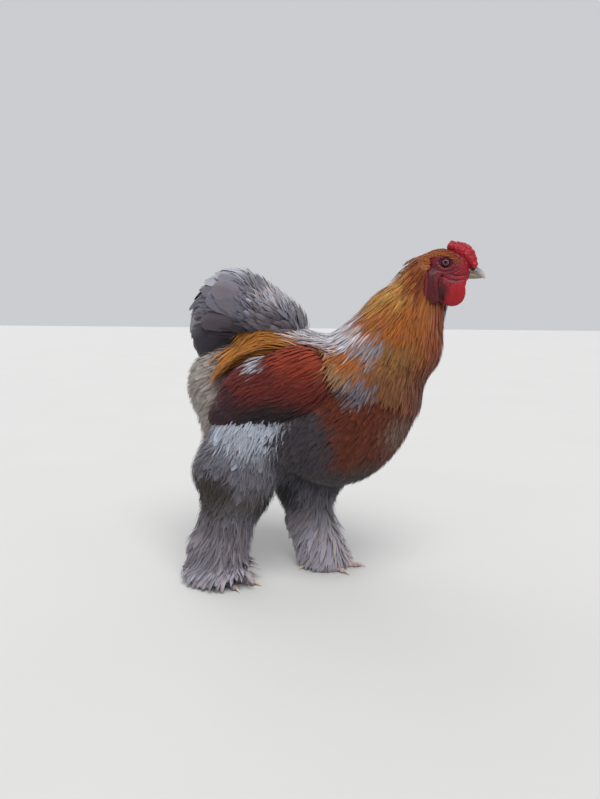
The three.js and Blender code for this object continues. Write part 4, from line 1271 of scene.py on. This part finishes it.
# Tail
# A cock's tail of this breed is full, short and round. Its broad, soft feathers rise from the saddle in
# tiers, and curl back and down over one another. Loose coverts fill the hollow between the tail and the back.
PLUME_SHARES = np.linspace(0, 0.975, 15)
PLUME_ROOT, PLUME_WIDENS, PLUME_BLUNT = 0.34, 1.8, 5
TAIL_VANE = {
    "shares": tuple(PLUME_SHARES),
    "widths": tuple(
        np.minimum(1, PLUME_ROOT + PLUME_WIDENS * PLUME_SHARES) * np.sqrt(1 - PLUME_SHARES**PLUME_BLUNT)
    ),
    "columns": (-1, -0.75, -0.5, -0.25, 0, 0.25, 0.5, 0.75, 1),
    "sweep": 0.40,
    "camber": 0.12,
    "thickness": 0.0006,
}
TAIL_SEED = 16
TAIL_CORE = 0.015
TAIL_ROOT = np.array((-0.092, 0, 0.428))
TAIL_MIDDLE = np.array((-0.140, 0, 0.490))
TAIL_CURL = math.radians(52)
TAIL_REACH = 0.150
# Each tier's distance from the tail's root, the angles over which it spreads, how far it turns aside, and its
# feathers' count, length, width and height at the tip
TAIL_TIERS = [
    (0.040, (104, 182), 1.0, 5, 0.088, 0.040, 0.002),
    (0.064, (100, 194), 1.0, 6, 0.086, 0.042, 0.003),
    (0.088, (98, 202), 0.9, 7, 0.078, 0.040, 0.003),
    (0.110, (98, 206), 0.7, 8, 0.066, 0.036, 0.002),
    (0.100, (104, 150), 0.12, 6, 0.074, 0.032, 0.001),
]
PLUME_LOW, PLUME_UNEVEN = -0.019, 0.002
PLUME_LONGER, PLUME_WIDER = (0.9, 1.12), (0.9, 1.1)
PLUME_ROLL = 0.16
# How much of its spread a tier loses as it turns aside
TURNED_LOSES = 0.6
# The soft feathers of the tail and of the hollow: their vane, their spacing and their sizes
TAIL_SOFT = [
    (BODY_VANE, 0.0080, (0.050, 0.074), (0.014, 0.024), -0.017, (-0.012, -0.004)),
    (HACKLE_VANE, 0.0056, (0.034, 0.056), (0.003, 0.006), -0.017, (-0.009, 0.001)),
]
TAIL_COVERTS = [
    (BODY_VANE, 0.0062, (0.024, 0.038), (0.006, 0.011), -0.012, (-0.003, 0.004)),
    (STRAND_VANE, 0.0036, (0.018, 0.034), (0.0014, 0.0028), -0.012, (-0.003, 0.004)),
]
COVERT_WAY = np.array((-0.85, 0, 0.45))
COVERT_GATHER = (0, 5, 0)
RUMP_LOW, RUMP_HIGH = (-0.105, -0.055, 0.460), (0.006, 0.055, 1)


def tail_flow(at):
    away = (at - TAIL_ROOT) * (1, 0, 1)
    curl = TAIL_CURL * np.linalg.norm(away, axis=1) / TAIL_REACH
    x, _, z = away.T
    return np.stack((x * np.cos(curl) - z * np.sin(curl), 0 * x, z * np.cos(curl) + x * np.sin(curl)), 1)


def covert_flow(at):
    return COVERT_WAY - at * COVERT_GATHER


def on_rump(points):
    return np.all((points > RUMP_LOW) & (points < RUMP_HIGH), axis=1)


covert_guide = union(0.010, COVERTS, grown(TAIL, -0.003), grown(TORSO, -0.004))
draw = np.random.default_rng(TAIL_SEED)
groups = []
for side in SIDES.values():
    for away, angles, aside, count, long, wide, lift in TAIL_TIERS:
        angle = np.radians(np.linspace(*angles, count))
        place = TAIL_ROOT + away * np.stack((np.cos(angle), 0 * angle, np.sin(angle)), 1)
        start = (TAIL_MIDDLE + place) / 2
        direction = unit(place - start) * (1 - TURNED_LOSES * aside)
        direction[:, 1] = side * aside
        roots = reach(TAIL, start, unit(direction), -TAIL_CORE)
        length = long * draw.uniform(*PLUME_LONGER, count)
        width = wide * draw.uniform(*PLUME_WIDER, count)
        sizes = (length, width, PLUME_LOW, lift + draw.uniform(-PLUME_UNEVEN, PLUME_UNEVEN, count))
        plume = lay(TAIL, tail_flow, roots, TAIL_VANE, *sizes, draw, roll=side * PLUME_ROLL, ragged=0.04)
        groups.append(paint(plume, "tail", draw, root=0.45, shaft=0.9, edge=1.2))
for vane, gap, *sizes in TAIL_SOFT:
    roots = scatter(["tail"], gap, draw)
    soft = lay(TAIL, tail_flow, roots, vane, *sizes, draw, wander=0.12, ragged=0.12)
    groups.append(paint(soft, "tail", draw, spread=0.10, root=0.55, shaft=0.92, edge=1.14))
for vane, gap, *sizes in TAIL_COVERTS:
    roots = scatter(["torso", "tail"], gap, draw, on_rump)
    covert = lay(covert_guide, covert_flow, roots, vane, *sizes, draw, wander=0.16, ragged=0.15)
    groups.append(paint(covert, "tail", draw, root=0.6))
coat("tail_coat", groups, LINES["tail"], down_finish, "tail")

# Fluff
# Loose, downy feathers without firm vanes fill out the rump, the belly and the thighs: broad soft blades
# below, and fine strands over them.
FLUFF_SEED = 17
FLUFF_LOW = -0.013
# Each layer's vane, its spacing over the fluff's own, its widths, how deep it lies, its wander, and its
# length over the fluff's own
FLUFF_LAYERS = [
    (BODY_VANE, 2.2, (0.013, 0.019), 0.003, 0.12, 1.25),
    (STRAND_VANE, 1, (0.0016, 0.0030), 0.0, 0.18, 1.0),
    (STRAND_VANE, 1, (0.0012, 0.0024), 0.0, 0.26, 0.85),
]
REAR_SOURCE = np.array((0.10, 0, 0.50))
REAR_FALL = (-0.25, 0, -0.35)
# The spacing, the lengths and the heights of the tips
REAR_FLUFF = (0.0042, (0.026, 0.044), (-0.006, 0.002))
THIGH_FLUFF = (0.0034, (0.028, 0.050), (-0.006, 0.003))
HAUNCH_FLUFF = (0.0042, (0.026, 0.040), (-0.006, 0.002))
# The rear's edges: below the saddle, under the belly and behind the wings
SADDLE_FOOT, BELLY_TOP, WINGS_END = 0.42, 0.27, -0.115
HAUNCH_LOW, HAUNCH_HIGH = (-0.18, 0.045, -1), (0.03, 1, 0.338)
HAUNCH_FALLS = (-0.05, 0.25)
LEG_LIE = np.array((-0.35, 0.05, -1))


def fluff(parts, guide, flow, kind, draw, spacing, lengths, highs, where=None):
    groups = []
    for vane, gap, widths, sink, wander, longer in FLUFF_LAYERS:
        roots = scatter(parts, gap * spacing, draw, where)
        length = draw.uniform(*lengths, len(roots)) * longer
        width = draw.uniform(*widths, len(roots))
        high = draw.uniform(*highs, len(roots)) - sink
        laid = lay(guide, flow, roots, vane, length, width, FLUFF_LOW, high, draw, wander=wander, ragged=0.15)
        groups.append(paint(laid, kind, draw, spread=0.08, root=0.8, tip=1.08))
    return groups


def rear_flow(at):
    return unit(at - REAR_SOURCE) + REAR_FALL


def on_rear(points):
    x, z = points[:, 0], points[:, 2]
    return (x < 0) & (z < SADDLE_FOOT) | (z < BELLY_TOP) | (x < WINGS_END)


def on_haunch(points):
    """The thigh, and what shows of the skin above it below the wing's edge"""
    edge = HAUNCH_HIGH * np.ones_like(points)
    edge[:, 2] -= HAUNCH_FALLS[1] * np.maximum(0, HAUNCH_FALLS[0] - points[:, 0])
    return np.all((mirrored(points) > HAUNCH_LOW) & (mirrored(points) < edge), axis=1)


draw = np.random.default_rng(FLUFF_SEED)
guide = union(0.014, TORSO, *THIGHS.values())
rear = fluff(["torso"], guide, rear_flow, "torso", draw, *REAR_FLUFF, on_rear)
coat("rump_fluff", rear, LINES["torso"], down_finish, "fluff")
for name, side in SIDES.items():

    def down_leg(at, side=side):
        return LEG_LIE * (1, side, 1) + np.zeros_like(at)

    def above_leg(at, side=side):
        return on_haunch(at) & (at[:, 1] * side > 0)

    draw = np.random.default_rng(FLUFF_SEED + side)
    guide = union(0.014, THIGHS[name], SHANKS[name], grown(TORSO, -0.008), grown(WINGS[name], -0.010))
    bed = (guide, down_leg, "thigh", draw)
    down = fluff([f"thigh_{name}"], *bed, *THIGH_FLUFF)
    down += fluff(["torso", f"wing_{name}"], *bed, *HAUNCH_FLUFF, above_leg)
    coat(f"thigh_{name}_fluff", down, LINES[f"thigh_{name}"], down_finish, "fluff")

# Shanks
# Long, soft feathers grow down each shank and spread out over the toes: broad ones, narrow ones over them,
# and short tufts on the toes themselves.
SHANK_SEED = 19
SHANK_LIE = np.array((-0.26, 0.13, -1))
SHANK_SPREAD = 12
TOE_SPACING = {"left": 0.0042, "right": 0.0020}
TOE_BARE_BELOW = 0.006
SHANK_LAYERS = [
    (BODY_VANE, 0.0062, (0.048, 0.074), (0.006, 0.010), -0.010, (-0.002, 0.009)),
    (HACKLE_VANE, 0.0034, (0.034, 0.064), (0.0020, 0.0036), -0.010, (-0.002, 0.009)),
]
TOE_TUFTS = ((0.012, 0.022), (0.0016, 0.0026), -0.0006, (0.001, 0.005))

for name, side in SIDES.items():

    def shank_flow(at, side=side, middle=np.array(LEGS[name]["dome"][:3]) / 1000):
        return SHANK_LIE * (1, side, 1) + (at - middle) * FLAT * SHANK_SPREAD

    draw = np.random.default_rng(SHANK_SEED + side)
    shank_guide = union(0.008, SHANKS[name], bulge(*LEGS[name]["dome"]))
    groups = []
    for vane, gap, *sizes in SHANK_LAYERS:
        roots = scatter([f"shank_{name}"], gap, draw)
        boots = lay(shank_guide, shank_flow, roots, vane, *sizes, draw, wander=0.12, ragged=0.15)
        groups.append(paint(boots, "shank", draw, spread=0.11))
    roots = scatter([f"foot_{name}"], TOE_SPACING[name], draw, lambda at: at[:, 2] > TOE_BARE_BELOW)
    toe_tufts = lay(FEET[name], shank_flow, roots, STRAND_VANE, *TOE_TUFTS, draw, wander=0.2)
    groups.append(paint(toe_tufts, "shank", draw))
    coat(f"shank_{name}_coat", groups, LINES[f"shank_{name}"], down_finish, "foot_feathers")

# Eyes
# A wet, round eye with a pale grey-brown iris and a black pupil sits deep in each socket. Its rings of colour
# lie at shares of its radius.
IRIS_RINGS = [
    (0.00, "060406"),
    (0.34, "0A0708"),
    (0.38, "543C3E"),
    (0.58, "7E5F60"),
    (0.74, "5E4042"),
    (0.88, "1A0C10"),
]
for name, side in SIDES.items():
    centre = EYE_AT * (1, side, 1) + STAND
    edit = bmesh.new()
    bmesh.ops.create_uvsphere(edit, u_segments=48, v_segments=32, radius=EYE_RADIUS)
    edit.transform(Matrix.Translation(centre) @ Matrix.Rotation(math.pi / 2, 4, "X"))
    ball = bpy.data.meshes.new(f"eyeball_{name}")
    edit.to_mesh(ball)
    edit.free()
    material, tree, shader = new_material(f"wet_eye_{name}")
    place = add(tree, "TexCoord", {}, "Object")
    moved = add(tree, "Mapping", {0: place, 1: tuple(-centre)})
    flat = add(tree, "VectorMath", {0: moved, 1: (1, 0, 1)}, operation="MULTIPLY")
    away = add(tree, "VectorMath", {0: flat}, "Value", operation="LENGTH")
    share = add(tree, "Math", {0: away, 1: EYE_RADIUS}, operation="DIVIDE")
    rings = add(tree, "ValToRGB", {0: share})
    steps = rings.node.color_ramp.elements
    for index, (at, code) in enumerate(IRIS_RINGS):
        step = steps[index] if index < 2 else steps.new(at)
        step.position = at
        step.color = opaque(code)
    wire(tree, shader, {"Base Color": rings, "Roughness": 0.10, "Specular IOR Level": 0.1})
    wire(tree, shader, {"Coat Weight": 0.2, "Coat Roughness": 0.03})
    new_piece(f"eyeball_{name}", ball, material, "eye", f"eye_{name}")

# Bill
# The bill is polished horn, grey with a pale tip. The upper half arches and hooks over the shorter lower
# half, and has a slit of a nostril on each side. Each ring of a half has its middle as seen from the side,
# half its width and half its height.
UPPER_BILL = [
    (0.2460, 0.5655, 0.0100, 0.0084),
    (0.2600, 0.5660, 0.0094, 0.0084),
    (0.2730, 0.5635, 0.0076, 0.0074),
    (0.2825, 0.5580, 0.0050, 0.0052),
    (0.2870, 0.5522, 0.0008, 0.0008),
]
LOWER_BILL = [
    (0.2460, 0.5570, 0.0084, 0.0060),
    (0.2580, 0.5578, 0.0078, 0.0060),
    (0.2700, 0.5570, 0.0064, 0.0052),
    (0.2825, 0.5545, 0.0022, 0.0018),
]
# Where the upper half starts to pale and over what length, and the middle, width and lower edge of its dark
# band
BILL_PALES = (0.250, 0.037)
UPPER_DARK = (0.272, 0.007, 0.562)
BAND_SHADE, HOLE_SHADE = 0.5, 0.85
NOSTRIL = np.array((0.2665, 0.0078, 0.5672))
NOSTRIL_REACH = (0.0038, 0.005, 0.0016)
NOSTRIL_DEPTH = 0.0020
HORN_RINGS, HORN_SIDES = 40, 32
# Layers in each metre of horn, along it and across
HORN_LAYERS = (120, 900, 900)


def smooth_line(points, count):
    """A smooth curve through points, at even steps"""
    points = np.array(points, float)
    ends = np.concatenate(([2 * points[0] - points[1]], points, [2 * points[-1] - points[-2]]))
    place = np.linspace(0, len(points) - 1, count)
    index = np.minimum(place.astype(int), len(points) - 2)
    part = (place - index)[:, None]
    a, b, c, d = (ends[index + step] for step in range(4))
    bent = (2 * a - 5 * b + 4 * c - d) * part**2 + (3 * b - a - 3 * c + d) * part**3
    return 0.5 * (2 * b + (c - a) * part + bent)


def horn(spine, flat=1.0, ridge=0.0, rings=HORN_RINGS, sides=HORN_SIDES):
    """A closed, tapering horn along a spine of middles, half widths and half heights, with its underside
    flattened and its top drawn to a ridge"""
    drawn = smooth_line(spine, rings)
    centre, width, height = drawn[:, :3], drawn[:, 3], drawn[:, 4]
    along = unit(np.gradient(centre, axis=0))
    side = unit(np.stack((-along[:, 1], along[:, 0], 0 * along[:, 0]), 1))
    up = np.cross(along, side)
    angle = np.arange(sides) * 2 * math.pi / sides
    out = width[:, None] * np.cos(angle) * (1 - ridge * np.maximum(0, np.sin(angle)))
    rise = height[:, None] * np.where(np.sin(angle) > 0, np.sin(angle), flat * np.sin(angle))
    grid = centre[:, None] + side[:, None] * out[..., None] + up[:, None] * rise[..., None]
    points = np.concatenate((grid.reshape(-1, 3), centre[:1], centre[-1:]))
    faces = []
    root, tip, last = rings * sides, rings * sides + 1, (rings - 1) * sides
    for place in range(sides):
        after = (place + 1) % sides
        faces += [(root, after, place), (last + place, last + after, tip)]
        for ring in range(rings - 1):
            a, b = ring * sides + place, ring * sides + after
            faces.append((a, b, b + sides, a + sides))
    return points, faces


def horn_piece(name, points, faces, colours, material, slot):
    mesh = bpy.data.meshes.new(f"{name}_horn")
    mesh.from_pydata([tuple(point + STAND) for point in points], [], faces)
    set_colours(mesh, colours)
    new_piece(f"{name}_horn", mesh, material, slot, name)


def horn_finish(name, roughness):
    """Keratin horn, laid down in fine layers along its length"""
    material, tree, shader = new_material(name)
    tint = add(tree, "Attribute", {}, "Color", attribute_name="tint")
    place = add(tree, "TexCoord", {}, "Object")
    drawn = add(tree, "Mapping", {0: place, 3: HORN_LAYERS})
    layers = add(tree, "TexNoise", {"Vector": drawn, "Scale": 1, "Detail": 3})
    shade = add(tree, "MapRange", {"Value": layers, "To Min": 0.8, "To Max": 1.2})
    colour = add(tree, "VectorMath", {0: tint, 1: shade}, operation="MULTIPLY")
    bump = add(tree, "Bump", {"Height": layers, "Distance": 0.0001})
    wire(tree, shader, {"Base Color": colour, "Normal": bump, "Roughness": roughness, "IOR": 1.54})
    return material


def plain(code, points):
    return np.tile(linear(code), (len(points), 1))


bill_finish = horn_finish("bill_horn", 0.34)
points, faces = horn([(x, 0, z, wide, high) for x, z, wide, high in UPPER_BILL], flat=0.80, ridge=0.3)
share = ((points[:, 0] - BILL_PALES[0]) / BILL_PALES[1]).clip(0, 1)
colours = mix(plain("62585C", points), "B8ADA8", share**2)
dark = np.exp(-(((points[:, 0] - UPPER_DARK[0]) / UPPER_DARK[1]) ** 2)) * (points[:, 2] > UPPER_DARK[2])
hole = np.exp(-((((mirrored(points) - NOSTRIL) / NOSTRIL_REACH) ** 2).sum(1) ** 2))[:, None]
points = points - np.sign(points) * (0, NOSTRIL_DEPTH, 0) * hole
colours = colours * (1 - BAND_SHADE * dark[:, None]) * (1 - HOLE_SHADE * hole)
horn_piece("bill_upper", points, faces, colours, bill_finish, "beak")
points, faces = horn([(x, 0, z, wide, high) for x, z, wide, high in LOWER_BILL])
horn_piece("bill_lower", points, faces, plain("82785E", points), bill_finish, "beak")

# Claws
# A short, blunt claw of pale horn ends each toe and rests on the floor. Each ring of a claw has its way past
# the toe's end, its height above the floor, half its width and half its height.
CLAW = [
    (-0.008, 0.0050, 0.0026, 0.0030),
    (0, 0.0056, 0.0028, 0.0030),
    (0.007, 0.0046, 0.0022, 0.0022),
    (0.015, 0.0007, 0.0004, 0.0004),
]
CLAW_PALES = 0.023
CLAW_FLOOR_GAP = 0.0003
CLAW_RINGS, CLAW_SIDES = 16, 16
claw_finish = horn_finish("claw_horn", 0.4)
for name, leg in LEGS.items():
    for toe, (_, length) in TOES.items():
        heading = toe_heading(leg, SIDES[name], toe)
        foot = np.array(leg["ankle"]) * FLAT
        spine = [(*(foot + heading * (length + on) + (0, 0, up)), wide, high) for on, up, wide, high in CLAW]
        points, faces = horn(spine, rings=CLAW_RINGS, sides=CLAW_SIDES)
        points[:, 2] = np.maximum(points[:, 2], CLAW_FLOOR_GAP)
        share = np.clip(np.linalg.norm(points - spine[0][:3], axis=1) / CLAW_PALES, 0, 1)
        colours = mix(plain("8E7C72", points), "C9BBAA", share)
        horn_piece(f"claw_{name}_{toe}", points, faces, colours, claw_finish, "claw")

# The visual model's box is kept beside the frame's own
low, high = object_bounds()
{"cad": [list(cad_low), list(cad_high)], "visual": [list(low), list(high)]}
